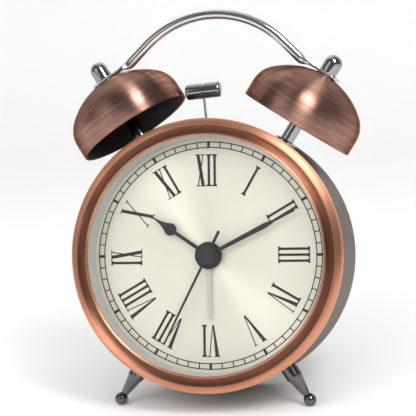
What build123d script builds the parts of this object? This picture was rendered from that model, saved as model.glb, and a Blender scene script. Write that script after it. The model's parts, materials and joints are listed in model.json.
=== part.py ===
from build123d import *
from math import asin, atan2, cos, degrees, hypot, pi, radians, sin
import os

os.makedirs("parts", exist_ok=True)

# A twin-bell quartz alarm clock with a four-inch dial.  It stands on two ball feet and on
# the lower back edge of its case, so the whole clock leans back.  Everything is placed in
# the clock's own directions: across, up the dial, and depth, which is counted back from the
# front of the bezel.  The part's frame has Z up, the dial facing -Y, and its origin on the
# table under the middle of the clock.

# ------------------------------------------------------------------ driving dimensions, mm
# Case, bezel and dial
DIAL_OPENING_R = 50.8
BEZEL_R = 58.2
BEZEL_BACK = 8.0
CASE_R = 57.6
CASE_WALL = 0.7
CASE_FRONT = 4.4
CASE_BACK = 58.0
CASE_EDGE_R = 2.0
CASE_MOUTH_R = 50.0
LENS_FRONT = 2.4
LENS_THICK = 1.4
DIAL_FRONT = 13.2
DIAL_THICK = 0.7
DIAL_R = 55.4

# Feet
FOOT_ANGLE = 33.8
FOOT_DEPTH = 21.3
FOOT_BALL_AT = 74.4
BALL_R = 2.8
FOOT_FLAT = 0.12
FOOT_R = 3.6

# Bells, their posts and the handle
BELL_ANGLE = 32.4
BELL_DEPTH = 29.0
BELL_RIM_AT = 66.6
BELL_RIM_R = 26.0
BELL_SKIRT = 6.9
BELL_SHOULDER_R = 12.5
BELL_CROWN_R = 32.4
BELL_WALL = 0.9
POST_R = 3.0
STUD_R = 2.0
CAP_NUT_R = 3.9
CAP_NUT_LENGTH = 8.5
TAB_THICK = 1.2
HANDLE_TUBE_R = 2.25
HANDLE_ARC_R = 42.2
HANDLE_TOP = 105.3

# Hammer and its motor
HAMMER_PIVOT_UP = 14.0
HAMMER_DEPTH = 29.2
HAMMER_REACH = 58.2
HAMMER_LEAN = 5.1
HAMMER_R = 3.45
HAMMER_LENGTH = 15.6
MOTOR_UP = 4.0
CAM_THROW = 0.8

# Movement
MOVEMENT_FRONT = DIAL_FRONT + DIAL_THICK
MOVEMENT_SPLIT = 20.1
MOVEMENT_BACK = 26.5
MOVEMENT_HALF = 28.0
MOVEMENT_WALL = 1.2
SETTER_ACROSS = 15.0
HAND_ANGLES = {"hour": 304.5, "minute": 63.2, "second": 206.9, "alarm": 180.0}

# Back cover, battery and controls
COVER_R = 53.0
COVER_BACK = 60.6
DOOR_TOP = -15.0
DOOR_BOTTOM = -46.0
DOOR_HALF = 29.0
DOOR_GAP = 0.3
BATTERY_UP = -25.0
BATTERY_DEPTH = 50.2
BATTERY_R = 7.1
KNOB_FRONT = 61.4
KNOB_R = 6.2
SWITCH_UP = 30.0
SWITCH_TRAVEL = 4.6

RUN_FIT = 0.06

# ------------------------------------------------------------------ how the clock stands
# The table touches the foot balls and the rounded back edge of the case.
ball_reach = BALL_R - FOOT_FLAT
run = CASE_BACK - CASE_EDGE_R - FOOT_DEPTH
rise = FOOT_BALL_AT * cos(radians(FOOT_ANGLE)) - (CASE_R - CASE_EDGE_R)
LEAN = atan2(rise, run) + asin((ball_reach - CASE_EDGE_R) / hypot(run, rise))
dial_height = ball_reach + FOOT_BALL_AT * cos(radians(FOOT_ANGLE)) * cos(LEAN) + FOOT_DEPTH * sin(LEAN)
# Puts the middle of the clock's depth over the origin.
DIAL_Y = -29.80

CLOCK = Plane(origin=(0, DIAL_Y, dial_height), x_dir=(1, 0, 0), z_dir=(0, -cos(LEAN), sin(LEAN)))


# ------------------------------------------------------------------ planes
def station(depth, across=0.0, up=0.0, turned_by=0.0):
    """Plane parallel to the dial, facing forward; turned_by swings its up direction clockwise."""
    swing = radians(turned_by)
    x_dir = CLOCK.x_dir * cos(swing) - CLOCK.y_dir * sin(swing)
    return Plane(CLOCK.from_local_coords((across, up, -depth)), x_dir=x_dir, z_dir=CLOCK.z_dir)


def outward(angle, depth, up=0.0):
    """Plane whose normal leaves the dial axis at a clock angle; its x direction faces forward."""
    direction = CLOCK.x_dir * sin(radians(angle)) + CLOCK.y_dir * cos(radians(angle))
    return Plane(CLOCK.from_local_coords((0, up, -depth)), x_dir=CLOCK.z_dir, z_dir=direction)


def backward(across=0.0, up=0.0):
    """Plane at the bezel's front whose normal points to the back, so height means depth."""
    return Plane(CLOCK.from_local_coords((across, up, 0)), x_dir=CLOCK.x_dir, z_dir=-CLOCK.z_dir)


def lathe(plane):
    """Plane for a turned outline: x is the radius and y the height along the plane's normal."""
    return Plane(plane.origin, x_dir=plane.x_dir, z_dir=-plane.y_dir)


def spindle(plane):
    return Axis(plane.origin, plane.z_dir)


# ------------------------------------------------------------------ shapes used many times
def turn(plane, *outline, mode=Mode.ADD):
    """Turns a closed outline of (radius, height) points about the plane's normal."""
    with BuildSketch(lathe(plane)) as profile:
        with BuildLine():
            Polyline(*outline, close=True)
        make_face()
    revolve(profile.sketch, axis=spindle(plane), mode=mode)


def rod(plane, radius, start, end, hole=0.0, mode=Mode.ADD):
    """A round bar, or a tube when it has a hole, between two heights above the plane."""
    turn(plane, (hole, start), (radius, start), (radius, end), (hole, end), mode=mode)


def slab(depth_front, depth_back, size, across=0.0, up=0.0, corner=0.0, mode=Mode.ADD):
    """A plate parallel to the dial, between two depths."""
    with BuildSketch(station(depth_back, across, up)) as outline:
        if corner > 0:
            RectangleRounded(*size, corner)
        else:
            Rectangle(*size)
    extrude(outline.sketch, amount=depth_back - depth_front, mode=mode)


def gear(depth_front, depth_back, teeth, module, across=0.0, up=0.0, phase=0.0):
    """A spur gear; its first tooth points at the phase angle, counted from across towards up."""
    pitch_r = teeth * module / 2
    root_r = pitch_r - 1.2 * module
    tip_r = pitch_r + 0.85 * module
    step = 2 * pi / teeth
    corners = []
    for tooth in range(teeth):
        for radius, share in ((root_r, -0.29), (tip_r, -0.10), (tip_r, 0.10), (root_r, 0.29)):
            angle = radians(phase) + (tooth + share) * step
            corners.append((radius * cos(angle), radius * sin(angle)))
    with BuildSketch(station(depth_back, across, up)) as blank:
        with BuildLine():
            Polyline(*corners, close=True)
        make_face()
    extrude(blank.sketch, amount=depth_back - depth_front)


def hex_nut(plane, across_flats, start, end, hole):
    """A hexagon nut between two heights above the plane."""
    with BuildSketch(plane.offset(start)) as outline:
        RegularPolygon(across_flats / 2, 6, major_radius=False)
        Circle(hole, mode=Mode.SUBTRACT)
    extrude(outline.sketch, amount=end - start)


def facing(start, end):
    """Angle in degrees from one gear axis to another, each given as (across, up)."""
    return degrees(atan2(end[1] - start[1], end[0] - start[0]))


pieces = {}

# ------------------------------------------------------------------ case and front
# The bezel is a pressed ring: a thin inner lip, a hollow cove and a round outer bead.
with BuildPart() as front_bezel:
    with BuildSketch(lathe(backward())) as bezel_section:
        with BuildLine():
            lip = ThreePointArc((DIAL_OPENING_R, 0.7), (51.15, 0.0), (51.6, 0.45))
            cove = ThreePointArc(lip @ 1, (53.1, 1.55), (54.9, 1.0))
            bead = ThreePointArc(cove @ 1, (57.35, 1.75), (BEZEL_R, 4.2))
            Polyline(
                bead @ 1,
                (BEZEL_R, BEZEL_BACK),
                (CASE_R, BEZEL_BACK),
                (CASE_R, 4.3),
                (56.6, 2.6),
                (54.9, 1.9),
                (53.1, 2.35),
                (51.5, 1.5),
                (DIAL_OPENING_R, 1.5),
                lip @ 0,
            )
        make_face()
    revolve(axis=spindle(backward()))
pieces["front_bezel"] = front_bezel

with BuildPart() as lens:
    with BuildSketch(station(LENS_FRONT + LENS_THICK)):
        Circle(DIAL_OPENING_R + 4.6)
    extrude(amount=LENS_THICK)
    chamfer(lens.edges(), 0.25)
pieces["lens"] = lens

# The spacer ring holds the lens off the dial; its wall shows inside the bezel.
with BuildPart() as dial_ring:
    turn(
        backward(),
        (51.0, 3.8),
        (56.85, 3.8),
        (56.85, 5.0),
        (52.2, 5.0),
        (51.3, DIAL_FRONT),
        (50.2, DIAL_FRONT),
    )
pieces["dial_ring"] = dial_ring

with BuildPart() as dial_plate:
    with BuildSketch(station(DIAL_FRONT + DIAL_THICK)):
        Circle(DIAL_R)
        Circle(4.05, mode=Mode.SUBTRACT)
    extrude(amount=DIAL_THICK)
pieces["dial_plate"] = dial_plate

# The shell is a drawn drum.  Its back edge is rounded and turned in to carry the cover.
COVER_SCREW_AT = 51.6
COVER_SCREW_ANGLES = (45, 135, 225, 315)
inner_r = CASE_R - CASE_WALL
edge_inner_r = CASE_EDGE_R - CASE_WALL
edge_bulge = sin(radians(45))
with BuildPart() as case_shell:
    with BuildSketch(lathe(backward())) as shell_section:
        with BuildLine():
            wall = Line((CASE_R, CASE_FRONT), (CASE_R, CASE_BACK - CASE_EDGE_R))
            edge = ThreePointArc(
                wall @ 1,
                (CASE_R - CASE_EDGE_R * (1 - edge_bulge), CASE_BACK - CASE_EDGE_R * (1 - edge_bulge)),
                (CASE_R - CASE_EDGE_R, CASE_BACK),
            )
            flange = Polyline(
                edge @ 1,
                (CASE_MOUTH_R, CASE_BACK),
                (CASE_MOUTH_R, CASE_BACK - CASE_WALL),
                (inner_r - edge_inner_r, CASE_BACK - CASE_WALL),
            )
            ThreePointArc(
                flange @ 1,
                (inner_r - edge_inner_r * (1 - edge_bulge), CASE_BACK - CASE_WALL - edge_inner_r * (1 - edge_bulge)),
                (inner_r, CASE_BACK - CASE_EDGE_R),
            )
            Polyline((inner_r, CASE_BACK - CASE_EDGE_R), (inner_r, CASE_FRONT), wall @ 0)
        make_face()
    revolve(axis=spindle(backward()))
    for angle in (-BELL_ANGLE, BELL_ANGLE):
        rod(outward(angle, BELL_DEPTH), STUD_R + 0.1, 50, 60, mode=Mode.SUBTRACT)
    for angle in (180 - FOOT_ANGLE, 180 + FOOT_ANGLE):
        rod(outward(angle, FOOT_DEPTH), 1.6, 50, 60, mode=Mode.SUBTRACT)
    for angle in COVER_SCREW_ANGLES:
        across = COVER_SCREW_AT * sin(radians(angle))
        up = COVER_SCREW_AT * cos(radians(angle))
        rod(backward(across, up), 1.05, 50, 60, mode=Mode.SUBTRACT)
    # The hammer wire swings in this slot.
    with BuildSketch(outward(0, HAMMER_DEPTH).offset(50)):
        SlotOverall(15.0, 4.4, rotation=90)
    extrude(amount=10, mode=Mode.SUBTRACT)
pieces["case_shell"] = case_shell

# ------------------------------------------------------------------ feet
feet = {"left_foot": 180 + FOOT_ANGLE, "right_foot": 180 - FOOT_ANGLE}
for node, angle in feet.items():
    axis_plane = outward(angle, FOOT_DEPTH)
    with BuildPart() as foot:
        turn(
            axis_plane,
            (0, 52.0),
            (1.5, 52.0),
            (1.5, CASE_R),
            (FOOT_R, CASE_R),
            (FOOT_R, 62.7),
            (3.2, 63.5),
            (1.6, 72.0),
            (1.35, 72.6),
            (0, 72.6),
        )
        with Locations(axis_plane.from_local_coords((0, 0, FOOT_BALL_AT))):
            Sphere(BALL_R)
        split(bisect_by=Plane.XY, keep=Keep.TOP)
    pieces[node] = foot

with BuildPart() as foot_nuts:
    for angle in feet.values():
        hex_nut(outward(angle, FOOT_DEPTH), 5.5, 54.4, 56.6, 1.5)
pieces["foot_nuts"] = foot_nuts

# ------------------------------------------------------------------ bells and their posts
# A bell has a short straight skirt, a round shoulder and a crown of larger radius. The shoulder
# meets both without a corner: its centre is level with the top of the skirt, and the crown's
# centre lies on the bell's axis, below it.
shoulder_at = BELL_RIM_AT + BELL_SKIRT
shoulder_out = BELL_RIM_R - BELL_SHOULDER_R
crown_drop = ((BELL_CROWN_R - BELL_SHOULDER_R) ** 2 - shoulder_out**2) ** 0.5
crown_centre_at = shoulder_at - crown_drop
bell_top_at = crown_centre_at + BELL_CROWN_R
join_angle = degrees(atan2(crown_drop, shoulder_out))
seat_r = 4.6


def shoulder_point(angle, wall=0.0):
    """A point on the shoulder's arc, or on the arc inside it by the wall."""
    ball_r = BELL_SHOULDER_R - wall
    return (shoulder_out + ball_r * cos(radians(angle)), shoulder_at + ball_r * sin(radians(angle)))


def crown_point(radius, wall=0.0):
    """A point on the crown's arc, at a radius from the bell's axis."""
    return (radius, crown_centre_at + ((BELL_CROWN_R - wall) ** 2 - radius**2) ** 0.5)


sides = {"left": -BELL_ANGLE, "right": BELL_ANGLE}
for side, angle in sides.items():
    bell_axis = outward(angle, BELL_DEPTH)
    outer_join = shoulder_point(join_angle)
    inner_join = shoulder_point(join_angle, BELL_WALL)
    with BuildPart() as bell:
        with BuildSketch(lathe(bell_axis)) as bell_section:
            with BuildLine():
                outer_shoulder = ThreePointArc(
                    shoulder_point(0), shoulder_point(join_angle / 2), outer_join
                )
                outer_crown = ThreePointArc(
                    outer_join,
                    crown_point((outer_join[0] + seat_r) / 2),
                    crown_point(seat_r),
                )
                inner_crown = ThreePointArc(
                    crown_point(seat_r, BELL_WALL),
                    crown_point((inner_join[0] + seat_r) / 2, BELL_WALL),
                    inner_join,
                )
                inner_shoulder = ThreePointArc(
                    inner_join,
                    shoulder_point(join_angle / 2, BELL_WALL),
                    shoulder_point(0, BELL_WALL),
                )
                Polyline(
                    outer_crown @ 1,
                    (seat_r - 0.5, bell_top_at),
                    (STUD_R + 0.05, bell_top_at),
                    (STUD_R + 0.05, bell_top_at - 1.25),
                    (POST_R + 0.2, bell_top_at - 1.25),
                    inner_crown @ 0,
                )
                Polyline(
                    inner_shoulder @ 1,
                    (BELL_RIM_R - BELL_WALL, BELL_RIM_AT + 0.25),
                    (BELL_RIM_R - BELL_WALL + 0.25, BELL_RIM_AT),
                    (BELL_RIM_R - 0.25, BELL_RIM_AT),
                    (BELL_RIM_R, BELL_RIM_AT + 0.25),
                    outer_shoulder @ 0,
                )
            make_face()
        revolve(axis=spindle(bell_axis))
    pieces[side + "_bell"] = bell

    with BuildPart() as post:
        turn(
            bell_axis,
            (0, 50.5),
            (STUD_R, 50.5),
            (STUD_R, CASE_R + 1.0),
            (POST_R, CASE_R + 1.0),
            (POST_R, bell_top_at - 1.25),
            (STUD_R, bell_top_at - 1.25),
            (STUD_R, bell_top_at + TAB_THICK + 4.5),
            (0, bell_top_at + TAB_THICK + 4.5),
        )
    pieces[side + "_bell_post"] = post

    nut_base = bell_top_at + TAB_THICK
    nut_shoulder = nut_base + CAP_NUT_LENGTH - CAP_NUT_R
    with BuildPart() as cap_nut:
        with BuildSketch(lathe(bell_axis)) as nut_section:
            with BuildLine():
                side_line = Polyline(
                    (STUD_R, nut_base),
                    (CAP_NUT_R - 0.3, nut_base),
                    (CAP_NUT_R, nut_base + 0.3),
                    (CAP_NUT_R, nut_shoulder),
                )
                dome = ThreePointArc(
                    side_line @ 1,
                    (CAP_NUT_R * edge_bulge, nut_shoulder + CAP_NUT_R * edge_bulge),
                    (0, nut_shoulder + CAP_NUT_R),
                )
                Polyline(dome @ 1, (0, nut_base + 4.5), (STUD_R, nut_base + 4.5), side_line @ 0)
            make_face()
        revolve(axis=spindle(bell_axis))
    pieces[side + "_cap_nut"] = cap_nut

with BuildPart() as post_washers:
    for angle in sides.values():
        turn(
            outward(angle, BELL_DEPTH),
            (STUD_R, CASE_R),
            (4.7, CASE_R),
            (4.7, CASE_R + 0.75),
            (4.45, CASE_R + 1.0),
            (STUD_R, CASE_R + 1.0),
        )
pieces["post_washers"] = post_washers

with BuildPart() as post_nuts:
    for angle in sides.values():
        hex_nut(outward(angle, BELL_DEPTH), 7.0, 53.6, 56.6, STUD_R)
pieces["post_nuts"] = post_nuts

# ------------------------------------------------------------------ handle
# A bent tube with ends pressed flat, each held by a cap nut on the crown of its bell.
TAB_WIDTH = 7.6
TAB_INNER = 8.0
TAB_OUTER = 6.4
bend = 45.0
arc_centre_up = HANDLE_TOP - HANDLE_ARC_R
bend_across = HANDLE_ARC_R * sin(radians(bend))
bend_up = arc_centre_up + HANDLE_ARC_R * cos(radians(bend))
leg_length = 11.0
leg_across = bend_across + leg_length * cos(radians(bend))
leg_up = bend_up - leg_length * sin(radians(bend))
tab_axis = outward(BELL_ANGLE, BELL_DEPTH)
with BuildPart() as carry_handle:
    with BuildLine(station(BELL_DEPTH)) as handle_line:
        crown = ThreePointArc(
            (0, HANDLE_TOP),
            (
                HANDLE_ARC_R * sin(radians(bend / 2)),
                arc_centre_up + HANDLE_ARC_R * cos(radians(bend / 2)),
            ),
            (bend_across, bend_up),
        )
        Line(crown @ 1, (leg_across, leg_up))
    with BuildSketch(Plane(handle_line.line @ 0, x_dir=CLOCK.z_dir, z_dir=handle_line.line % 0)):
        Circle(HANDLE_TUBE_R)
    sweep()
    # The tube is squeezed from round to flat between the leg and the tab.
    with BuildSketch(Plane(handle_line.line @ 1, x_dir=CLOCK.z_dir, z_dir=handle_line.line % 1)):
        Circle(HANDLE_TUBE_R)
    tab_end = tab_axis.from_local_coords((0, -TAB_INNER, bell_top_at + TAB_THICK / 2))
    with BuildSketch(Plane(tab_end, x_dir=CLOCK.z_dir, z_dir=tab_axis.y_dir)):
        Ellipse(TAB_WIDTH / 2 - 0.1, TAB_THICK / 2)
    loft()
    with BuildSketch(tab_axis.offset(bell_top_at)):
        with Locations((0, (TAB_OUTER - TAB_INNER) / 2)):
            Rectangle(TAB_WIDTH, TAB_OUTER + TAB_INNER)
        with Locations((0, 0)):
            Circle(STUD_R + 0.1, mode=Mode.SUBTRACT)
    extrude(amount=TAB_THICK)
    outer_corners = carry_handle.edges().filter_by(Axis(tab_end, tab_axis.z_dir)).sort_by(Axis.X)[-2:]
    fillet(outer_corners, TAB_WIDTH / 2 - 0.4)
    mirror(about=Plane.YZ)
pieces["carry_handle"] = carry_handle

# ------------------------------------------------------------------ hammer
# At rest the hammer leans to the left, with its head just clear of the left bell's rim.
wire_axis = outward(-HAMMER_LEAN, HAMMER_DEPTH, up=HAMMER_PIVOT_UP)
pivot_back = backward(0, HAMMER_PIVOT_UP)
BRACKET_FRONT = 33.0
BRACKET_BACK = 34.4


def swinging(depth):
    """Plane parallel to the dial through the hammer's pivot, its up direction along the wire."""
    return station(depth, 0, HAMMER_PIVOT_UP, turned_by=-HAMMER_LEAN)


with BuildPart() as hammer_arm:
    rod(pivot_back, 3.2, 28.1, 32.4)
    with BuildSketch(swinging(30.2)):
        with Locations((0, 4.0)):
            Rectangle(5.0, 8.0)
        with Locations((0, -4.6)):
            Rectangle(8.4, 3.2)
        with Locations((-3.5, -9.2), (3.5, -9.2)):
            Rectangle(1.4, 8.0)
        with Locations((0, -1.6)):
            Rectangle(5.0, 4.0)
    extrude(amount=2.0)
    rod(pivot_back, 1.0 + RUN_FIT, 27, 33, mode=Mode.SUBTRACT)
    rod(wire_axis, 0.55, 3.6, 12, mode=Mode.SUBTRACT)
pieces["hammer_arm"] = hammer_arm

with BuildPart() as hammer_wire:
    rod(wire_axis, 0.55, 3.6, HAMMER_REACH)
pieces["hammer_wire"] = hammer_wire

with BuildPart() as hammer_head:
    with BuildSketch(Plane(
        wire_axis.from_local_coords((0, HAMMER_LENGTH / 2, HAMMER_REACH)),
        x_dir=wire_axis.x_dir,
        z_dir=-wire_axis.y_dir,
    )):
        Circle(HAMMER_R)
    extrude(amount=HAMMER_LENGTH)
    fillet(hammer_head.edges(), 1.3)
    groove_plane = Plane(
        wire_axis.from_local_coords((0, 0, HAMMER_REACH)),
        x_dir=wire_axis.x_dir,
        z_dir=wire_axis.y_dir,
    )
    rod(groove_plane, HAMMER_R + 1, -0.4, 0.4, hole=HAMMER_R - 0.45, mode=Mode.SUBTRACT)
    rod(wire_axis, 0.55, HAMMER_REACH - 6, HAMMER_REACH, mode=Mode.SUBTRACT)
pieces["hammer_head"] = hammer_head

with BuildPart() as hammer_pivot:
    rod(pivot_back, 1.0, 27.5, BRACKET_BACK)
    rod(pivot_back, 1.9, 27.0, 27.7)
pieces["hammer_pivot"] = hammer_pivot

# The bracket stands on four posts on the back of the movement and carries pivot and motor.
with BuildPart() as hammer_bracket:
    slab(BRACKET_FRONT, BRACKET_BACK, (25, 36.5), up=8.75, corner=2.5)
    for across in (-9.6, 9.6):
        for up in (-6.6, 24.1):
            rod(backward(across, up), 2.0, MOVEMENT_BACK, BRACKET_FRONT)
    rod(pivot_back, 1.0, 30, 36, mode=Mode.SUBTRACT)
    rod(backward(0, MOTOR_UP), 2.6, 30, 36, mode=Mode.SUBTRACT)
pieces["hammer_bracket"] = hammer_bracket

with BuildPart() as hammer_motor:
    with BuildSketch(station(52.0, 0, MOTOR_UP)):
        Circle(10.0)
        Rectangle(20.0, 15.2, mode=Mode.INTERSECT)
    extrude(amount=52.0 - BRACKET_BACK)
    rod(backward(0, MOTOR_UP), 2.5, 33.2, BRACKET_BACK)
    rod(backward(0, MOTOR_UP), 4.0, 52.0, 53.6)
    rod(backward(0, MOTOR_UP), 1.0 + RUN_FIT, 33, 42, mode=Mode.SUBTRACT)
pieces["hammer_motor"] = hammer_motor

with BuildPart() as motor_cam:
    rod(backward(0, MOTOR_UP), 1.0, 32.0, 41.0)
    rod(backward(0, MOTOR_UP), 3.4, 30.9, 32.2)
    rod(backward(0, MOTOR_UP + CAM_THROW), 0.7, 28.8, 31.0)
pieces["motor_cam"] = motor_cam

# ------------------------------------------------------------------ movement housing
housing_size = (2 * MOVEMENT_HALF, 2 * MOVEMENT_HALF)
cavity_size = (2 * (MOVEMENT_HALF - MOVEMENT_WALL), 2 * (MOVEMENT_HALF - MOVEMENT_WALL))
CAVITY_FRONT = MOVEMENT_FRONT + MOVEMENT_WALL
CAVITY_BACK = MOVEMENT_BACK - MOVEMENT_WALL
CORNER = 24.0
corners = [(CORNER, CORNER), (-CORNER, CORNER), (-CORNER, -CORNER), (CORNER, -CORNER)]
BUSH_R = 4.0
SETTER_R = 1.5

CENTRE_AT = (0.0, 0.0)
MOTION_AT = (SETTER_ACROSS, 0.0)
ALARM_SET_AT = (-SETTER_ACROSS, 0.0)
THIRD_AT = (0.0, 12.24)
STEP_AT = (0.0, -9.6)
ROTOR_AT = (-6.0, -15.48)
ARBOR_R = 0.5
PIVOT_R = 0.3
SECOND_ARBOR_R = 0.6
MINUTE_TUBE_R = 1.3
HOUR_TUBE_R = 2.0
ALARM_TUBE_R = 2.7

with BuildPart() as movement_front:
    slab(MOVEMENT_FRONT, MOVEMENT_SPLIT - 0.6, housing_size, corner=4)
    slab(CAVITY_FRONT, MOVEMENT_SPLIT, cavity_size, corner=3, mode=Mode.SUBTRACT)
    rod(backward(), BUSH_R, 12.0, CAVITY_FRONT)
    rod(backward(), ALARM_TUBE_R + RUN_FIT, 11, 16, mode=Mode.SUBTRACT)
    for across, up in corners:
        rod(backward(across, up), 2.4, CAVITY_FRONT, MOVEMENT_SPLIT - 0.6, hole=0.9)
    for across, up in (MOTION_AT, ALARM_SET_AT):
        rod(backward(across, up), 2.4, CAVITY_FRONT - 0.2, CAVITY_FRONT + 0.2, hole=PIVOT_R + RUN_FIT)
        rod(backward(across, up), PIVOT_R + RUN_FIT, 14.4, 16, mode=Mode.SUBTRACT)
pieces["movement_front"] = movement_front

with BuildPart() as movement_back:
    slab(MOVEMENT_SPLIT, MOVEMENT_BACK, housing_size, corner=4)
    slab(MOVEMENT_SPLIT - 1, CAVITY_BACK, cavity_size, corner=3, mode=Mode.SUBTRACT)
    for across, up in corners:
        rod(backward(across, up), 2.4, MOVEMENT_SPLIT, CAVITY_BACK)
        rod(backward(across, up), 0.95, MOVEMENT_SPLIT - 1, MOVEMENT_BACK + 1, mode=Mode.SUBTRACT)
    for across, up in (MOTION_AT, ALARM_SET_AT):
        rod(backward(across, up), SETTER_R + RUN_FIT, 24, 28, mode=Mode.SUBTRACT)
    for across, up in (CENTRE_AT, THIRD_AT, STEP_AT, ROTOR_AT):
        rod(backward(across, up), PIVOT_R + RUN_FIT, 24, 26.1, mode=Mode.SUBTRACT)
pieces["movement_back"] = movement_back

# The train plate is held between the two halves and carries the front pivots of the train.
with BuildPart() as train_plate:
    slab(MOVEMENT_SPLIT - 0.6, MOVEMENT_SPLIT, housing_size, corner=4)
    rod(backward(), MINUTE_TUBE_R + RUN_FIT, 19, 21, mode=Mode.SUBTRACT)
    for across, up in corners:
        rod(backward(across, up), 0.95, 19, 21, mode=Mode.SUBTRACT)
    for across, up in (MOTION_AT, ALARM_SET_AT):
        rod(backward(across, up), SETTER_R + RUN_FIT, 19, 21, mode=Mode.SUBTRACT)
    for across, up in (THIRD_AT, ROTOR_AT):
        rod(backward(across, up), PIVOT_R + RUN_FIT, 19, 21, mode=Mode.SUBTRACT)
pieces["train_plate"] = train_plate

with BuildPart() as movement_screws:
    for across, up in corners:
        rod(backward(across, up), 1.8, MOVEMENT_BACK, MOVEMENT_BACK + 1.0)
        rod(backward(across, up), 0.9, 16.5, MOVEMENT_BACK)
        slab(MOVEMENT_BACK + 0.5, MOVEMENT_BACK + 2, (0.5, 2.4), across, up, mode=Mode.SUBTRACT)
        slab(MOVEMENT_BACK + 0.5, MOVEMENT_BACK + 2, (2.4, 0.5), across, up, mode=Mode.SUBTRACT)
pieces["movement_screws"] = movement_screws

with BuildPart() as dial_nut:
    hex_nut(backward(), 9.8, 12.1, DIAL_FRONT, BUSH_R + 0.02)
pieces["dial_nut"] = dial_nut

# ------------------------------------------------------------------ wheels
# Hand setting: minute pinion 12 to motion wheel 36, motion pinion 10 to hour wheel 40.
# Alarm: two wheels of 25.  Train: rotor 8 to 48, step pinion 8 to 40, second pinion 8 to 60,
# third pinion 8 to 64, so the rotor turns thirty times as fast as the second hand, and the
# centre wheel turns at a sixtieth of its speed.
MINUTE_MODULE = 0.625
HOUR_MODULE = 0.6
ALARM_MODULE = 0.6
STEP_MODULE = 0.3
SECOND_MODULE = 0.4
THIRD_MODULE = 0.36
CENTRE_MODULE = 0.34
to_motion = facing(CENTRE_AT, MOTION_AT)
to_alarm_set = facing(CENTRE_AT, ALARM_SET_AT)
to_third = facing(CENTRE_AT, THIRD_AT)
to_step = facing(CENTRE_AT, STEP_AT)
step_to_rotor = facing(STEP_AT, ROTOR_AT)


def meets(angle, teeth):
    """Phase that puts a gap opposite a tooth that comes along the given angle."""
    return angle + 180 + 180 / teeth


with BuildPart() as cannon_pinion:
    gear(18.4, 19.2, 12, MINUTE_MODULE, phase=to_motion)
    rod(backward(), MINUTE_TUBE_R, 8.5, 21.3)
    rod(backward(), SECOND_ARBOR_R + RUN_FIT, 8, 22, mode=Mode.SUBTRACT)
pieces["cannon_pinion"] = cannon_pinion

with BuildPart() as motion_wheel:
    gear(18.4, 19.2, 36, MINUTE_MODULE, *MOTION_AT, phase=meets(to_motion, 36))
    gear(16.9, 18.4, 10, HOUR_MODULE, *MOTION_AT, phase=to_motion + 180)
    rod(backward(*MOTION_AT), SETTER_R, 19.0, 62.0)
    rod(backward(*MOTION_AT), PIVOT_R, 14.6, 17.0)
pieces["motion_wheel"] = motion_wheel

with BuildPart() as hour_wheel:
    gear(16.9, 17.9, 40, HOUR_MODULE, phase=meets(to_motion + 180, 40))
    rod(backward(), HOUR_TUBE_R, 9.9, 17.9)
    rod(backward(), MINUTE_TUBE_R + RUN_FIT, 9, 19, mode=Mode.SUBTRACT)
pieces["hour_wheel"] = hour_wheel

with BuildPart() as alarm_wheel:
    gear(15.4, 16.4, 25, ALARM_MODULE, phase=to_alarm_set)
    rod(backward(), ALARM_TUBE_R, 11.0, 16.4)
    rod(backward(), HOUR_TUBE_R + RUN_FIT, 10, 18, mode=Mode.SUBTRACT)
pieces["alarm_wheel"] = alarm_wheel

with BuildPart() as alarm_setting_wheel:
    gear(15.5, 16.4, 25, ALARM_MODULE, *ALARM_SET_AT, phase=meets(to_alarm_set, 25))
    rod(backward(*ALARM_SET_AT), SETTER_R, 16.2, 62.0)
    rod(backward(*ALARM_SET_AT), PIVOT_R, 14.6, 16.4)
pieces["alarm_setting_wheel"] = alarm_setting_wheel

# The centre wheel grips the minute tube through a friction clutch.
with BuildPart() as centre_wheel:
    gear(20.3, 21.1, 64, CENTRE_MODULE, phase=to_third)
    rod(backward(), MINUTE_TUBE_R + RUN_FIT, 19, 23, mode=Mode.SUBTRACT)
pieces["centre_wheel"] = centre_wheel

with BuildPart() as third_wheel:
    gear(21.9, 22.7, 60, THIRD_MODULE, *THIRD_AT, phase=meets(to_third, 60))
    gear(20.3, 21.9, 8, CENTRE_MODULE, *THIRD_AT, phase=meets(to_third, 8))
    rod(backward(*THIRD_AT), ARBOR_R, 20.3, 25.1)
    rod(backward(*THIRD_AT), PIVOT_R, 19.6, 26.0)
pieces["third_wheel"] = third_wheel

with BuildPart() as second_wheel:
    gear(23.3, 24.1, 40, SECOND_MODULE, phase=to_step)
    gear(21.8, 23.3, 8, THIRD_MODULE, phase=to_third)
    rod(backward(), SECOND_ARBOR_R, 7.0, 25.1)
    rod(backward(), PIVOT_R, 25.0, 26.0)
pieces["second_wheel"] = second_wheel

# The centre wheel passes in front of this arbor, so it pivots in the back housing alone.
with BuildPart() as step_wheel:
    gear(21.9, 22.6, 48, STEP_MODULE, *STEP_AT, phase=step_to_rotor)
    gear(22.6, 24.2, 8, SECOND_MODULE, *STEP_AT, phase=meets(to_step, 8))
    rod(backward(*STEP_AT), ARBOR_R, 21.5, 25.1)
    rod(backward(*STEP_AT), PIVOT_R, 25.0, 26.0)
pieces["step_wheel"] = step_wheel

with BuildPart() as rotor:
    gear(21.8, 22.8, 8, STEP_MODULE, *ROTOR_AT, phase=meets(step_to_rotor, 8))
    rod(backward(*ROTOR_AT), 3.0, 23.4, 25.0)
    rod(backward(*ROTOR_AT), ARBOR_R, 20.3, 25.1)
    rod(backward(*ROTOR_AT), PIVOT_R, 19.6, 26.0)
pieces["rotor"] = rotor

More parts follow.
